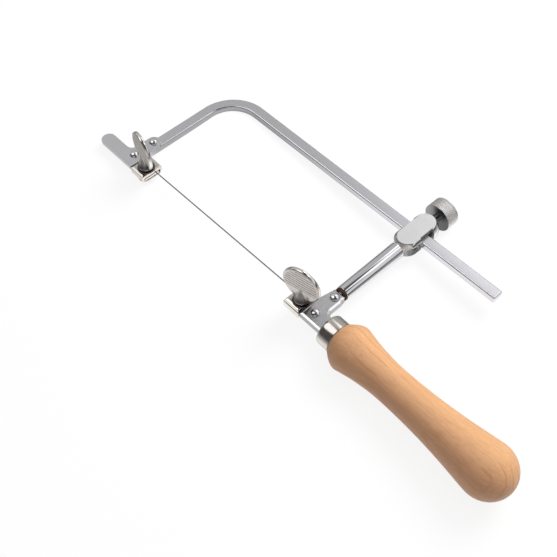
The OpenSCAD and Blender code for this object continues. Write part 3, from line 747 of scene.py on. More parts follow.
def turned(name, profile, centre, along, material, steps=96, closed=False):
    """A closed shell turned round an axis, from (along, radius) points."""
    along = Vector(along).normalized()
    side = along.orthogonal().normalized()
    other = along.cross(side)
    verts, rings, faces = [], [], []
    for place, radius in profile:
        base = Vector(centre) + along * place
        if radius <= 1e-7:
            rings.append([len(verts)])
            verts.append(base)
            continue
        rings.append(list(range(len(verts), len(verts) + steps)))
        for k in range(steps):
            a = math.tau * k / steps
            verts.append(base + (side * math.cos(a) + other * math.sin(a)) * radius)
    pairs = list(zip(rings, rings[1:])) + ([(rings[-1], rings[0])] if closed else [])
    for low, high in pairs:
        for k in range(steps):
            n = (k + 1) % steps
            if len(low) == 1:
                faces.append((low[0], high[k], high[n]))
            elif len(high) == 1:
                faces.append((low[k], low[n], high[0]))
            else:
                faces.append((low[k], low[n], high[n], high[k]))
    return piece(name, verts, faces, material)


def geometry_tree(name, sizes):
    """A Geometry Nodes tree with an input for each size and the material, and its graph."""
    tree = bpy.data.node_groups.new(name, "GeometryNodeTree")
    tree.is_modifier = True
    tree.interface.new_socket("Geometry", in_out="INPUT", socket_type="NodeSocketGeometry")
    for label, default in sizes.items():
        new_input(tree, label, default)
    tree.interface.new_socket("Material", in_out="INPUT", socket_type="NodeSocketMaterial")
    tree.interface.new_socket("Geometry", in_out="OUTPUT", socket_type="NodeSocketGeometry")
    graph = Graph(tree)
    return graph, graph.add("NodeGroupInput").outputs


def end_tree(graph, geometry, given):
    """Ends a tree in real geometry with its material."""
    real = graph.result("GeometryNodeRealizeInstances", {"Geometry": geometry})
    dressed_mesh = graph.result(
        "GeometryNodeSetMaterial", {"Geometry": real, "Material": given["Material"]})
    graph.add("NodeGroupOutput", {"Geometry": dressed_mesh})
    return graph.tree


def grown(obj, tree, values):
    """The plain mesh that a tree makes of an object."""
    modifier = obj.modifiers.new(tree.name, "NODES")
    modifier.node_group = tree
    places = {item.name: item.identifier for item in tree.interface.items_tree
              if item.item_type == "SOCKET" and item.in_out == "INPUT"}
    for label, value in values.items():
        modifier[places[label]] = value
    settled(obj)
    recalculate(obj.data)
    return obj


def swept_bar_tree():
    """A rounded bar swept along a line of points, bent where they turn."""
    graph, given = geometry_tree("Swept Bar", {
        "Width": 6.0 * MM, "Thickness": 4.0 * MM, "Edge": 0.5 * MM, "Bend Radius": 19.0 * MM})
    path = graph.result("GeometryNodeMeshToCurve", {"Mesh": given["Geometry"]})
    bent = graph.result(
        "GeometryNodeFilletCurve", {"Curve": path, "Count": 48, "Radius": given["Bend Radius"]},
        mode="POLY")
    upright = graph.result("GeometryNodeSetCurveNormal", {"Curve": bent}, mode="Z_UP")
    section = graph.result(
        "GeometryNodeCurvePrimitiveQuadrilateral", {"Width": given["Width"], "Height": given["Thickness"]})
    rounded = graph.result(
        "GeometryNodeFilletCurve", {"Curve": section, "Count": 4, "Radius": given["Edge"]}, mode="POLY")
    swept = graph.result(
        "GeometryNodeCurveToMesh", {"Curve": upright, "Profile Curve": rounded, "Fill Caps": True})
    return end_tree(graph, swept, given)


def rivet_tree():
    """A dome on every point: high ones on the upper face and low ones, upside down, below."""
    graph, given = geometry_tree("Domed Rivets", {
        "Radius": 2.4 * MM, "Height": 1.5 * MM, "Lower Share": 0.5})
    ball = graph.result("GeometryNodeMeshUVSphere", {"Segments": 64, "Rings": 48, "Radius": 1.0})
    x, y, z = graph.split(graph.result("GeometryNodeInputPosition"))
    domed = graph.point(graph.times(x, given["Radius"]), graph.times(y, given["Radius"]),
                        graph.times(graph.larger(z, -0.02), given["Height"]))
    dome = graph.result("GeometryNodeSetPosition", {"Geometry": ball, "Position": domed})
    dome = graph.result("GeometryNodeMergeByDistance", {"Geometry": dome, "Distance": 1e-7})
    below = graph.math("LESS_THAN", z, 0.0)
    flip = graph.point(graph.times(below, math.pi))
    size = graph.point(1.0, 1.0, graph.between(below, 1.0, given["Lower Share"]))
    points = graph.result("GeometryNodeMeshToPoints", {"Mesh": given["Geometry"]})
    placed = graph.result(
        "GeometryNodeInstanceOnPoints",
        {"Points": points, "Instance": dome, "Rotation": flip, "Scale": size})
    return end_tree(graph, placed, given)


def blade_tree():
    """A strip from the origin along X with a row of raked teeth on its lower edge."""
    graph, given = geometry_tree("Toothed Blade", {
        "Length": 127.0 * MM, "Width": 0.7 * MM, "Thickness": 0.34 * MM, "Plain End": 16.5 * MM,
        "Tooth Pitch": 0.6 * MM, "Tooth Height": 0.2 * MM})
    tip_at, thick_share, sunk_share = 0.83, 0.96, 1.1
    width, pitch, tall = (given[key] for key in ("Width", "Tooth Pitch", "Tooth Height"))
    strip = graph.result("GeometryNodeMeshCube", {
        "Size": graph.point(given["Length"], graph.minus(width, tall), given["Thickness"])})
    middle = graph.point(graph.over(given["Length"], 2.0), graph.over(tall, 2.0))
    strip = graph.result("GeometryNodeTransform", {"Geometry": strip, "Translation": middle})
    wedge = graph.result(
        "GeometryNodeMeshCylinder", {"Vertices": 3, "Radius": 1.0, "Depth": 1.0}, fill_type="NGON")
    x, y, z = graph.split(graph.result("GeometryNodeInputPosition"))
    tip = graph.math("GREATER_THAN", x, 0.5)
    heel = graph.math("GREATER_THAN", y, 0.5)
    shaped = graph.point(graph.times(graph.plus(graph.times(tip, tip_at), heel), pitch),
                         graph.times(tip, tall, -1.0), graph.times(z, given["Thickness"], thick_share))
    tooth = graph.result("GeometryNodeSetPosition", {"Geometry": wedge, "Position": shaped})
    toothed = graph.minus(given["Length"], graph.times(given["Plain End"], 2.0))
    sunk = graph.minus(graph.times(tall, sunk_share), graph.over(width, 2.0))
    row = graph.result(
        "GeometryNodeMeshLine",
        {"Count": graph.math("FLOOR", graph.over(toothed, pitch)),
         "Start Location": graph.point(given["Plain End"], sunk), "Offset": graph.point(pitch)},
        mode="OFFSET")
    teeth = graph.result("GeometryNodeInstanceOnPoints", {"Points": row, "Instance": tooth})
    both = graph.add("GeometryNodeJoinGeometry")
    graph.feed(both.inputs[0], strip)
    graph.feed(both.inputs[0], teeth)
    return end_tree(graph, both.outputs[0], given)


def knurl_tree():
    """Crossed knurling, pressed into whatever lies at the knob's full radius."""
    graph, given = geometry_tree("Crossed Knurl", {
        "Centre X": 0.0, "Radius": 7.6 * MM, "Start": 0.0, "End": 7.2 * MM, "Count": 52,
        "Depth": 0.2 * MM, "Slant": 1.0})
    radius, start, end, depth = (given[key] for key in ("Radius", "Start", "End", "Depth"))
    spot_x, y, z = graph.split(graph.result("GeometryNodeInputPosition"))
    x = graph.minus(spot_x, given["Centre X"])
    around = graph.times(graph.over(graph.math("ARCTAN2", z, x), math.tau), given["Count"])
    pitch = graph.over(graph.times(radius, math.tau), given["Count"])
    lean = graph.over(graph.times(y, given["Slant"]), pitch)
    right, left = (graph.math("PINGPONG", line, 0.5)
                   for line in (graph.plus(around, lean), graph.minus(around, lean)))
    cut = graph.minus(1.0, graph.times(graph.math("MINIMUM", right, left), 2.0))
    reach = graph.math("SQRT", graph.plus(graph.times(x, x), graph.times(z, z)))
    on_side = graph.spread(graph.over(reach, radius), 0.985, 1.0)
    edge_in = graph.spread(y, start, graph.plus(start, depth))
    edge_out = graph.spread(y, graph.minus(end, depth), end, 1.0, 0.0)
    pressed = graph.times(cut, on_side, edge_in, edge_out, depth)
    inwards = graph.over(graph.times(pressed, -1.0), graph.larger(reach, 1e-6))
    offset = graph.point(graph.times(x, inwards), 0.0, graph.times(z, inwards))
    moved = graph.result("GeometryNodeSetPosition", {"Geometry": given["Geometry"], "Offset": offset})
    return end_tree(graph, moved, given)


def seat(obj, body, slot, *nodes):
    """Seats a finished piece on its body in place of the frame's nodes."""
    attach(obj, body)
    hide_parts(*nodes)


def box_shell(name, low, high, material, edge):
    """A closed block between two corners with rounded edges."""
    low, high = Vector(low), Vector(high)
    verts = [(x, y, z) for x in (low.x, high.x) for y in (low.y, high.y) for z in (low.z, high.z)]
    faces = [(0, 1, 3, 2), (4, 6, 7, 5), (0, 4, 5, 1), (2, 3, 7, 6), (0, 2, 6, 4), (1, 5, 7, 3)]
    return bevelled(piece(name, verts, faces, material), edge)


def workbench(context, group):
    """One group of the saw's sizes, and all its finishes."""
    settings = context.scene.fret_saw
    return getattr(settings, group), palette(settings.finish)


class FRETSAW_OT_bar(bpy.types.Operator):
    """Sweep the flat bar: front arm, bend and spine in one"""
    bl_idname = "fretsaw.bar"
    bl_label = "Frame Bar"

    def execute(self, context):
        sizes, finish = workbench(context, "frame")
        steel = finish["Bar steel"]
        half = sizes.bar_width / 2
        arm_x = BAR_LOW.x + half
        spine_y = BAR_HIGH.y - half
        lap_top = sizes.lap_width / 2
        path = piece(
            "frame_bar_metal", [(arm_x, lap_top, 0), (arm_x, spine_y, 0), (BAR_HIGH.x, spine_y, 0)],
            edges=[(0, 1), (1, 2)])
        bar = grown(path, swept_bar_tree(), {
            "Width": sizes.bar_width, "Thickness": BAR_HIGH.z - BAR_LOW.z, "Edge": sizes.bar_edge,
            "Bend Radius": sizes.bend_radius, "Material": steel})
        bevelled(bar, sizes.bar_end, angle=50.0)
        jaw_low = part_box("front_jaw")[0]
        foot = box_shell(
            "foot", BAR_LOW, (BAR_LOW.x + sizes.bar_width, lap_top + half, jaw_low.z - GAP),
            steel, sizes.plate_edge)
        join(bar, foot)
        seat(bar, "frame", "bar_steel", "frame_bar")
        return {"FINISHED"}


class FRETSAW_OT_plates(bpy.types.Operator):
    """Bevel the plates, jaws and clamp plates"""
    bl_idname = "fretsaw.plates"
    bl_label = "Plates and Jaws"

    def execute(self, context):
        sizes, finish = workbench(context, "frame")
        rows = (
            ("tip_plate", "frame", "bar_steel", "Bar steel", False, sizes.plate_edge),
            ("front_jaw", "frame", "nickel", "Clamp nickel", False, sizes.jaw_edge),
            ("front_clamp_plate", "front_clamp", "nickel", "Clamp nickel", True, sizes.rim_edge),
            ("rear_clamp_plate", "rear_clamp", "nickel", "Clamp nickel", True, sizes.rim_edge),
            ("rear_jaw", "slider", "nickel", "Clamp nickel", False, sizes.jaw_edge),
            ("cross_plate", "slider", "bar_steel", "Cross steel", True, sizes.rim_edge))
        for node, body, slot, material, rimmed, edge in rows:
            obj = cad_copy(node, node + "_metal", finish[material])
            if rimmed:
                chamfer(obj, sizes.rim_width, sizes.rim_drop)
            seat(bevelled(obj, edge, 3, 20.0), body, slot, node)
        return {"FINISHED"}


class FRETSAW_OT_rivets(bpy.types.Operator):
    """Set the domed rivets on both faces of the plates"""
    bl_idname = "fretsaw.rivets"
    bl_label = "Rivets"

    def execute(self, context):
        sizes, finish = workbench(context, "frame")
        tree = rivet_tree()
        reach = sizes.rivet_radius
        for node, body, plate in (("tip_rivets", "frame", "tip_plate"),
                                  ("cross_rivets", "slider", "cross_plate")):
            low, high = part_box(node)
            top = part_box(plate)[1].z
            bottom = low.z + sizes.rivet_height * sizes.rivet_lower
            spots = [((low.x + high.x) / 2, y, z)
                     for y in (low.y + reach, high.y - reach) for z in (bottom, top)]
            obj = grown(piece(node + "_domes", spots), tree, {
                "Radius": reach, "Height": sizes.rivet_height, "Lower Share": sizes.rivet_lower,
                "Material": finish["Rivet chrome"]})
            seat(smoothed(obj, 60.0), body, "rivet_steel", node)
        return {"FINISHED"}


def head_rows(sizes, base_z, centre_z, flute_low):
    """Heights of the head's rows: boss, neck, flutes and the rounded top."""
    boss_top = base_z + sizes.boss_height
    flutes_end = centre_z + sizes.head_half_height - 1.2 * MM
    rows = {base_z, base_z + 0.12 * MM, base_z + sizes.boss_round, boss_top - 0.1 * MM}
    rows |= {boss_top + (flute_low - boss_top) * i / 26 for i in range(27)}
    rows |= {z for z in (flute_low + sizes.flute_pitch * i / 12
                         for i in range(sizes.flute_count * 12 + 1)) if z < flutes_end}
    rows |= {centre_z + sizes.head_half_height * math.sin(math.radians(a)) for a in range(56, 90, 2)}
    kept = []
    for z in sorted(rows):
        if not kept or z - kept[-1] > 0.02 * MM:
            kept.append(z)
    return kept


def blended_max(a, b, width):
    """The larger of two thicknesses, with a soft fillet where they meet."""
    near = max(0.0, width - abs(a - b)) / width
    return max(a, b) + near * near * width / 4 * min(1.0, min(a, b) / width)


def wing_head(name, sizes, base_z, centre_z, material):
    """The oval grip: a flat, bevelled and fluted paddle growing out of a round neck."""
    columns = 72
    fillet = 0.6 * MM
    neck_blend = 1.6 * MM
    half_t = sizes.head_thickness / 2
    rim_round = 0.3 * MM
    rim_thin = half_t * sizes.rim_share
    boss_top = base_z + sizes.boss_height
    curl_top = base_z + sizes.boss_round
    flute_low = centre_z - sizes.flute_start - sizes.flute_pitch / 2
    flute_high = flute_low + sizes.flute_pitch * sizes.flute_count
    verts, rings = [], []

    def paddle(dist):
        """Half thickness at a distance from the head's outline."""
        if dist <= 0.0:
            return 0.0
        if dist < rim_round:
            return rim_thin * math.sqrt(1 - (1 - dist / rim_round) ** 2)
        if dist < sizes.head_rim:
            return rim_thin + (half_t - rim_thin) * (dist - rim_round) / (sizes.head_rim - rim_round)
        return half_t

    def flute(z, dist):
        """Depth of the grip flutes, which stop at the rim."""
        if not flute_low < z < flute_high or dist < sizes.head_rim:
            return 0.0
        phase = (z - flute_low) / sizes.flute_pitch % 1.0
        fade = min(1.0, (dist - sizes.head_rim) / (0.5 * MM))
        return sizes.flute_depth * (1 - (2 * phase - 1) ** 2) * fade

    for z in head_rows(sizes, base_z, centre_z, flute_low):
        lift = (z - centre_z) / sizes.head_half_height
        oval = sizes.head_half_width * math.sqrt(max(0.0, 1 - lift * lift))
        cone = sizes.neck_radius - max(0.0, z - boss_top) * sizes.neck_taper
        if z < curl_top:
            cone = sizes.neck_radius - sizes.boss_round + math.sqrt(max(
                0.0, sizes.boss_round ** 2 - (curl_top - z) ** 2))
        wide = cone
        if z > boss_top:
            grow = min(1.0, (z - boss_top) / neck_blend)
            wide = cone + (max(oval, cone) - cone) * grow * grow * (3 - 2 * grow)
        front, back = [], []
        for k in range(columns + 1):
            u = wide * math.sin(math.pi * (k / columns - 0.5))
            oval_dist = (1 - math.hypot(u / sizes.head_half_width, lift)) * sizes.head_half_width
            dist = min(oval_dist, wide - abs(u)) if z < centre_z else oval_dist
            grip = paddle(dist) - flute(z, dist) if z > boss_top else 0.0
            round_part = math.sqrt(max(0.0, cone * cone - u * u)) if cone > 0 else 0.0
            thick = blended_max(grip, round_part, fillet)
            front.append((u, -thick))
            back.append((u, thick))
        ring = front + back[-2:0:-1]
        rings.append(list(range(len(verts), len(verts) + len(ring))))
        verts += [(u, v, z) for u, v in ring]
    faces = [tuple(rings[0])]
    for low, high in zip(rings, rings[1:]):
        n = len(low)
        faces += [(low[k], low[(k + 1) % n], high[(k + 1) % n], high[k]) for k in range(n)]
    tip = len(verts)
    verts.append((0, 0, centre_z + sizes.head_half_height))
    last = rings[-1]
    faces += [(last[k], last[(k + 1) % len(last)], tip) for k in range(len(last))]
    return piece(name, verts, faces, material)


class FRETSAW_OT_wing_screws(bpy.types.Operator):
    """Forge the two fluted wing screws and turn their washers"""
    bl_idname = "fretsaw.wing_screws"
    bl_label = "Wing Screws"

    def execute(self, context):
        sizes, finish = workbench(context, "clamp")
        nickel = finish["Wing nickel"]
        radius = sizes.screw_radius
        for side, angle in (("front", sizes.front_turn), ("rear", sizes.rear_turn)):
            node = side + "_wing_screw"
            low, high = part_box(node)
            washer_low, washer_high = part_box(side + "_washer")
            middle = (washer_low + washer_high) / 2
            axis = (middle.x, middle.y, 0)
            boss_z = washer_high.z + GAP
            shank_top = boss_z + SINK
            head = wing_head(node + "_metal", sizes, boss_z, high.z - sizes.head_half_height, nickel)
            smoothed(head, 40.0)
            head.data.transform(Matrix.Translation(axis) @ Matrix.Rotation(angle, 4, "Z"))
            shank = turned(
                "shank", outline([(low.z, 0, 0), (low.z, radius, 0.3 * MM), (shank_top, radius, 0),
                                  (shank_top, 0, 0)]), axis, (0, 0, 1), nickel, 48)
            join(head, smoothed(shank))
            seat(head, side + "_screw", "nickel", node)
            hole = radius + sizes.washer_play
            reach = washer_high.x - middle.x
            ring = turned(
                side + "_washer_ring",
                outline([(washer_low.z, hole, 0.1 * MM), (washer_high.z, hole, 0.1 * MM),
                         (washer_high.z, reach, 0.35 * MM), (washer_low.z, reach, 0.2 * MM)],
                        closed=True),
                axis, (0, 0, 1), finish["Dark steel"], 80, closed=True)
            seat(smoothed(ring, 50.0), side + "_clamp", "dark_steel", side + "_washer")
        return {"FINISHED"}


class FRETSAW_OT_blade(bpy.types.Operator):
    """Stretch the toothed blade between the clamps"""
    bl_idname = "fretsaw.blade"
    bl_label = "Blade"

    def execute(self, context):
        sizes, finish = workbench(context, "clamp")
        low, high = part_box("blade")
        rise = high.y - low.y - sizes.blade_width
        skew = math.asin(rise / sizes.blade_length)
        obj = grown(piece("blade_toothed", [(0, 0, 0)]), blade_tree(), {
            "Length": sizes.blade_length, "Width": sizes.blade_width,
            "Thickness": sizes.blade_thickness, "Plain End": sizes.blade_plain,
            "Tooth Pitch": sizes.tooth_pitch, "Tooth Height": sizes.tooth_height,
            "Material": finish["Blade steel"]})
        start = Vector((low.x, low.y + sizes.blade_width / 2, (low.z + high.z) / 2))
        obj.data.transform(Matrix.Translation(start) @ Matrix.Rotation(skew, 4, "Z"))
        seat(obj, "frame", "blade_steel", "blade")
        return {"FINISHED"}


class FRETSAW_OT_slider(bpy.types.Operator):
    """Finish the slider block, its rod and the collar"""
    bl_idname = "fretsaw.slider"
    bl_label = "Slider and Rod"

    def execute(self, context):
        sizes, finish = workbench(context, "arm")
        chrome = finish["Rod chrome"]
        block = cad_copy("slider_block", "slider_block_metal", finish["Block steel"])
        seat(bevelled(block, sizes.block_edge, 2), "slider", "block_steel", "slider_block")
        axis_x = (BLOCK_LOW.x + BLOCK_HIGH.x) / 2
        axis = (axis_x, 0, 0)
        collar_low, collar_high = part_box("rod_collar")
        rod_low = collar_high.y - sizes.collar_cover
        rod_high = BLOCK_LOW.y + sizes.rod_seat
        rod = turned(
            "arm_rod_metal",
            outline([(rod_low, 0, 0), (rod_low, sizes.rod_low, 0.25 * MM),
                     (rod_high - sizes.rod_rim, sizes.rod_top, 0.1 * MM),
                     (rod_high, sizes.rod_top - sizes.rod_rim, 0.05 * MM), (rod_high, 0, 0)], 4),
            axis, (0, 1, 0), chrome, 128)
        half = Vector((sizes.tongue_width / 2, 0, sizes.tongue_thickness / 2))
        tongue = box_shell(
            "tongue", Vector((axis_x, rod_high - sizes.tongue_root, 0)) - half,
            Vector((axis_x, sizes.tongue_end, 0)) + half, chrome, 0.2 * MM)
        neck_low, neck_high = collar_low.y - SINK, rod_low + SINK
        neck = turned(
            "neck", [(neck_low, 0), (neck_low, sizes.neck_radius), (neck_high, sizes.neck_radius),
                     (neck_high, 0)], axis, (0, 1, 0), chrome, 32)
        join(smoothed(rod), tongue, smoothed(neck))
        seat(rod, "slider", "rod_chrome", "arm_rod")
        hole = sizes.neck_radius + GAP
        reach = collar_high.x - axis_x
        ring = turned(
            "rod_collar_ring",
            outline([(collar_low.y, hole, 0.05 * MM), (rod_low, hole, 0.05 * MM),
                     (rod_low, reach, 0.1 * MM), (collar_low.y, reach, 0.3 * MM)], closed=True),
            axis, (0, 1, 0), finish["Collar brown"], 80, closed=True)
        seat(smoothed(ring, 50.0), "slider", "dark_steel", "rod_collar")
        return {"FINISHED"}


class FRETSAW_OT_knob(bpy.types.Operator):
    """Turn and knurl the clamp knob on its screw"""
    bl_idname = "fretsaw.knob"
    bl_label = "Clamp Knob"

    def execute(self, context):
        sizes, finish = workbench(context, "arm")
        knurled = finish["Knurled steel"]
        axis_x = (KNOB_LOW.x + KNOB_HIGH.x) / 2
        axis = (axis_x, 0, 0)
        reach = (KNOB_HIGH.x - KNOB_LOW.x) / 2
        low, high = KNOB_LOW.y, KNOB_HIGH.y
        start, end = low + sizes.knob_edge, high - sizes.knob_round
        dish, dish_rim, dish_radius = high - sizes.knob_dish, reach * 0.6, reach * 0.5
        profile = outline([(low, 0, 0), (low, reach, sizes.knob_edge), (start, reach, 0)], 4)[:-1]
        profile += [(start + (end - start) * i / 60, reach) for i in range(61)]
        profile += outline([(end, reach, 0), (high, reach, sizes.knob_round),
                            (high, dish_radius, 0)], 6)[1:-1]
        profile += [(high, dish_rim), (dish, dish_radius), (dish, 0)]
        knob = turned(
            "clamp_knob_metal", profile, axis, (0, 1, 0), knurled, sizes.knurl_count * 8)
        grown(knob, knurl_tree(), {
            "Centre X": axis_x, "Radius": reach, "Start": start, "End": end,
            "Count": sizes.knurl_count, "Depth": sizes.knurl_depth, "Slant": sizes.knurl_slant,
            "Material": knurled})
        seat(smoothed(knob, 30.0), "knob", "knob_steel", "clamp_knob")
        screw_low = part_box("clamp_screw")[0].y
        screw_end = low + sizes.clamp_seat
        screw = turned(
            "clamp_screw_metal",
            outline([(screw_low, 0, 0), (screw_low, sizes.clamp_radius, 0.3 * MM),
                     (screw_end, sizes.clamp_radius, 0), (screw_end, 0, 0)]),
            axis, (0, 1, 0), finish["Rod chrome"], 64)
        seat(smoothed(screw), "knob", "rod_chrome", "clamp_screw")
        shoe = cad_copy("clamp_shoe", "clamp_shoe_brass", finish["Shoe brass"])
        seat(bevelled(shoe, sizes.shoe_edge, 2), "shoe", "brass", "clamp_shoe")
        return {"FINISHED"}


def cubic(a, b, c, d, t):
    """One coordinate of a cubic curve through four values."""
    s = 1 - t
    return a * s ** 3 + 3 * b * t * s * s + 3 * c * t * t * s + d * t ** 3


def swell(start, end, pulls, steps):
    """Points between two (along, radius) places, level at both, with the bends pulled to the shares."""
    curve = []
    for i in range(1, steps + 1):
        t = i / steps
        curve.append((start[0] + (end[0] - start[0]) * cubic(0, *pulls, 1, t),
                      cubic(start[1], start[1], end[1], end[1], t)))
    return curve


def handle_profile(sizes, whole, butt, spigot, back):
    """The turned outline, from the spigot inside the ferrule to the round butt."""
    end = whole - sizes.butt_length
    points = [(back, 0), (back, spigot), (0, spigot), (0, sizes.shoulder - 0.25 * MM),
              (0.12 * MM, sizes.shoulder - 0.06 * MM)]
    for i in range(1, 25):
        t = i / 24
        points.append((sizes.bulge_at * t + 0.3 * MM * (1 - t),
                       sizes.shoulder + (sizes.bulge - sizes.shoulder) * math.sin(math.pi / 2 * t)))
    bulge, waist = (sizes.bulge_at, sizes.bulge), (sizes.waist_at, sizes.waist)
    points += swell(bulge, waist, (0.04, 0.47), 32)
    points += swell(waist, (end, butt), (0.57, 0.91), 40)
    for i in range(1, 33):
        a = math.pi / 2 * i / 32
        points.append((end + sizes.butt_length * math.sin(a), butt * math.cos(a) if i < 32 else 0))
    return points


class FRETSAW_OT_handle(bpy.types.Operator):
    """Turn the wooden handle and its ferrule"""
    bl_idname = "fretsaw.handle"
    bl_label = "Handle and Ferrule"

    def execute(self, context):
        sizes, finish = workbench(context, "handle")
        front, back = FERRULE_LOW.x, FERRULE_HIGH.x
        reach = FERRULE_HIGH.y
        inner = reach - sizes.ferrule_wall
        floor = front + sizes.ferrule_front
        cap = turned(
            "ferrule_cap",
            outline([(front, 0, 0), (front, reach, sizes.ferrule_round), (back, reach, 0.25 * MM),
                     (back, inner, 0.1 * MM), (floor, inner, 0), (floor, 0, 0)], 8),
            (0, 0, 0), (1, 0, 0), finish["Ferrule nickel"], 128)
        seat(smoothed(cap, 40.0), "slider", "nickel", "ferrule")
        wood_front = back + GAP
        profile = handle_profile(
            sizes, WOOD_HIGH.x - wood_front, WOOD_HIGH.y, inner - GAP, WOOD_LOW.x - wood_front)
        wood = turned(
            "handle_wood", profile, (wood_front, 0, 0), (1, 0, 0), finish["Beech"], 128)
        seat(smoothed(wood, 40.0), "slider", "handle_wood", "handle")
        return {"FINISHED"}


def camera_frame(stage):
    """The photograph's view: the camera's place and its right, up and back directions."""
    a, e = stage.azimuth, stage.elevation
    back = Vector((math.sin(a) * math.cos(e), -math.cos(a) * math.cos(e), math.sin(e)))
    right = Vector((0, 0, 1)).cross(back).normalized()
    right.rotate(Matrix.Rotation(stage.roll, 3, back))
    up = back.cross(right)
    place = Vector((stage.target_x, stage.target_y, 0)) + back * stage.distance
    return place, right, up, back


def window(graph, x, y, across, along, strength):
    """A soft-edged softbox between two bounds of the mirrored direction each way."""
    soft = 0.07
    value = strength
    for place, (low, high) in ((x, across), (y, along)):
        value = graph.times(value, graph.spread(place, low, low + soft),
                            graph.spread(place, high - soft, high, 1.0, 0.0))
    return value


def studio_world(stage, side, away, up):
    """A studio that is white to the camera. Mirrors show a grey ceiling ahead that is brighter to
    the right, a wall on the right, a dim wall behind the camera and two softboxes."""
    world = bpy.data.worlds.new("Studio")
    world.use_nodes = True
    graph = Graph(world.node_tree)
    world.node_tree.nodes.clear()
    toward = graph.add("ShaderNodeTexCoord").outputs["Generated"]
    x, y, z = (graph.along(toward, tuple(axis)) for axis in (side, away, up))
    right_glow = graph.spread(x, 0.08, 0.28, 0.0, 1.25)
    left_glow = graph.spread(x, -0.24, -0.14, 0.14, 0.0)
    overhead = graph.times(graph.plus(right_glow, left_glow), graph.spread(z, 0.5, 0.65))
    ceiling = graph.times(graph.plus(overhead, stage.ceiling), graph.spread(y, 0.38, 0.5))
    right_wall = graph.times(graph.spread(x, 0.6, 0.7, 0.0, 0.62), graph.spread(z, 0.16, 0.32))
    back_wall = graph.spread(y, -0.9, -0.66, 0.5, 0.0)
    room = graph.plus(graph.larger(graph.larger(ceiling, back_wall), right_wall), 0.08)
    left_box = window(graph, x, y, (-0.74, -0.11), (-0.08, 0.52), 1.4)
    right_box = window(graph, x, y, (0.33, 0.72), (-0.12, 0.40), 1.2)
    boxes = graph.times(graph.plus(left_box, right_box), graph.spread(z, 0.4, 0.5))
    mirrored, ambient, white = (
        graph.result("ShaderNodeBackground", {"Color": WHITE, "Strength": strength})
        for strength in (graph.larger(room, boxes), stage.ambient, 1.0))
    ray = graph.add("ShaderNodeLightPath").outputs
    mirror = graph.larger(ray["Is Glossy Ray"], ray["Is Transmission Ray"])
    lit = graph.result("ShaderNodeMixShader", {0: mirror, 1: ambient, 2: mirrored})
    seen = graph.result("ShaderNodeMixShader", {0: ray["Is Camera Ray"], 1: lit, 2: white})
    graph.add("ShaderNodeOutputWorld", {"Surface": seen})
    bpy.context.scene.world = world


def floor_material(stage, away):
    """Pale floor that is white to the camera but for a soft shadow. Mirrors show it darker at a low
    angle and beyond the saw, and darker still inside its frame as a painted shadow of the saw. From below
    it is clear."""
    material = bpy.data.materials.new("Pale floor")
    material.use_nodes = True
    graph = Graph(material.node_tree)
    material.node_tree.nodes.clear()
    ray = graph.add("ShaderNodeLightPath").outputs
    shape = graph.add("ShaderNodeNewGeometry").outputs
    steep = graph.along(shape["Incoming"], shape["Normal"])
    ahead = graph.along(shape["Incoming"], tuple(away))
    x, y = graph.split(shape["Position"])[:2]
    # Painted shadow: mirrors see the floor darker inside the saw's frame, where the saw's own shadow would
    # lie.
    frame_shadow = graph.times(graph.spread(x, -110.0 * MM, 25.0 * MM, 0.62, 0.0),
                         graph.spread(y, 4.0 * MM, 14.0 * MM))
    mirrored = graph.times(graph.spread(steep, 0.1, 0.8, 0.05, 1.12),
                           graph.spread(ahead, -0.5, 0.0, 0.3, 1.0), graph.minus(1.0, frame_shadow))
    mirror = graph.larger(ray["Is Glossy Ray"], ray["Is Transmission Ray"])
    glowing = graph.plus(graph.times(ray["Is Camera Ray"], 0.86), graph.times(mirror, 0.75))
    paper = graph.result("ShaderNodeBsdfDiffuse", {"Color": rgba(stage.floor_colour)})
    glow = graph.result("ShaderNodeEmission", {
        "Color": WHITE, "Strength": graph.between(ray["Is Camera Ray"], mirrored, 1.02)})
    clear = graph.result("ShaderNodeBsdfTransparent")
    top = graph.result("ShaderNodeMixShader", {0: glowing, 1: paper, 2: glow})
    both = graph.result("ShaderNodeMixShader", {0: shape["Backfacing"], 1: top, 2: clear})
    graph.add("ShaderNodeOutputMaterial", {"Surface": both})
    return material


def softbox(name, target, direction, distance, size, watts):
    """A soft square lamp that lights the saw from one direction and isn't mirrored itself."""
    data = bpy.data.lights.new(name, "AREA")
    data.shape = "SQUARE"
    data.size = size
    data.energy = watts
    lamp = bpy.data.objects.new(name, data)
    direction = Vector(direction).normalized()
    lamp.location = target + direction * distance
    lamp.rotation_euler = direction.to_track_quat("Z", "Y").to_euler()
    lamp.visible_glossy = False
    bpy.context.scene.collection.objects.link(lamp)


def resting_plane(saw):
    """The lowest point of the handle's bulge, and the table's normal: the saw lies on its handle,
    its front rivet and its knob."""
    handle = Vector((WOOD_LOW.x + saw.handle.rest_at, 0, -saw.handle.bulge))
    tip_low, tip_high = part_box("tip_rivets")
    tip = Vector(((tip_low.x + tip_high.x) / 2, tip_low.y + saw.frame.rivet_radius, tip_low.z))
    knob = Vector(((KNOB_LOW.x + KNOB_HIGH.x) / 2, (KNOB_LOW.y + KNOB_HIGH.y) / 2, KNOB_LOW.z))
    normal = (tip - handle).cross(knob - handle).normalized()
    return handle, normal if normal.z > 0 else -normal


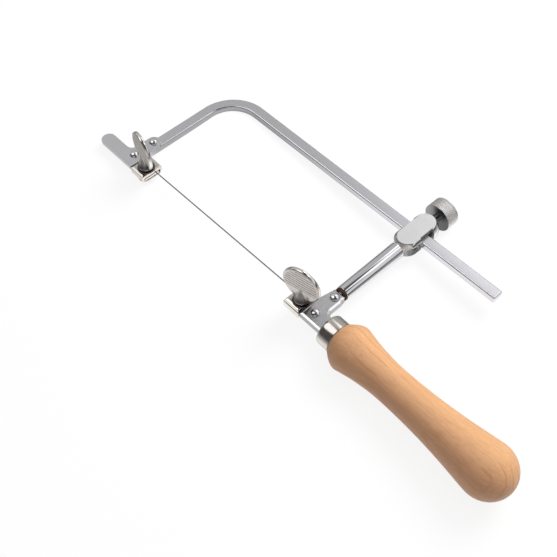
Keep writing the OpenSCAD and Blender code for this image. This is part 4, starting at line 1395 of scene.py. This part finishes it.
class FRETSAW_OT_stage(bpy.types.Operator):
    """Lay the floor, hang the softboxes and set the camera at the photograph's view"""
    bl_idname = "fretsaw.stage"
    bl_label = "Stage"

    def execute(self, context):
        scene = context.scene
        stage = scene.fret_saw.stage
        place, right, up, back = camera_frame(stage)
        data = bpy.data.cameras.new("Camera")
        data.lens = stage.lens
        camera = bpy.data.objects.new("Camera", data)
        camera.matrix_world = Matrix.Translation(place) @ Matrix((right, up, back)).transposed().to_4x4()
        scene.collection.objects.link(camera)
        scene.camera = camera
        low_point, normal = resting_plane(scene.fret_saw)
        side = (right - normal * right.dot(normal)).normalized()
        away = normal.cross(side)
        middle = low_point - normal * GAP
        half = stage.floor_size / 2
        corners = [middle + side * i * half + away * j * half
                   for i, j in ((-1, -1), (1, -1), (1, 1), (-1, 1))]
        floor = piece("floor", corners, [(0, 1, 2, 3)], floor_material(stage, away))
        if floor.data.polygons[0].normal.dot(normal) < 0:
            floor.data.flip_normals()
        aim = Vector((0, 30.0 * MM, 0))
        for name, direction, size, watts in (
                ("Key softbox", side * 0.6 + away * 0.48 + normal, 0.5, stage.key_power),
                ("Fill softbox", side * -0.9 - away * 0.2 + normal * 0.8, 0.8, stage.fill_power),
                ("Top softbox", normal, 0.8, stage.top_power)):
            softbox(name, aim, direction, stage.lamp_distance, size, watts)
        studio_world(stage, side, away, normal)
        scene.view_settings.view_transform = "Standard"
        return {"FINISHED"}


STEPS = (FRETSAW_OT_stage, FRETSAW_OT_bar, FRETSAW_OT_plates, FRETSAW_OT_rivets,
         FRETSAW_OT_wing_screws, FRETSAW_OT_blade, FRETSAW_OT_slider, FRETSAW_OT_knob,
         FRETSAW_OT_handle)


class FRETSAW_PT_panel(bpy.types.Panel):
    """The saw's steps in building order, and its settings"""
    bl_label = "Fret Saw"
    bl_space_type = "VIEW_3D"
    bl_region_type = "UI"
    bl_category = "Fret Saw"

    def draw(self, context):
        for step in STEPS:
            self.layout.operator(step.bl_idname)
        saw = context.scene.fret_saw
        for group in (saw.frame, saw.clamp, saw.arm, saw.handle, saw.finish, saw.stage):
            box = self.layout.box()
            for key in group.bl_rna.properties.keys():
                if key not in ("rna_type", "name"):
                    box.prop(group, key)


CLASSES = (FrameSettings, ClampSettings, ArmSettings, HandleSettings, FinishSettings, StageSettings,
           FretSawSettings, *STEPS, FRETSAW_PT_panel)


def register():
    """Makes the settings, steps and panel known."""
    for cls in CLASSES:
        bpy.utils.register_class(cls)
    bpy.types.Scene.fret_saw = PointerProperty(type=FretSawSettings)


def unregister():
    """Takes them away again."""
    del bpy.types.Scene.fret_saw
    for cls in reversed(CLASSES):
        bpy.utils.unregister_class(cls)


def main():
    """Builds the saw step by step."""
    register()
    for step in STEPS:
        group, action = step.bl_idname.split(".")
        getattr(getattr(bpy.ops, group), action)()


if __name__ == "__main__":
    main()
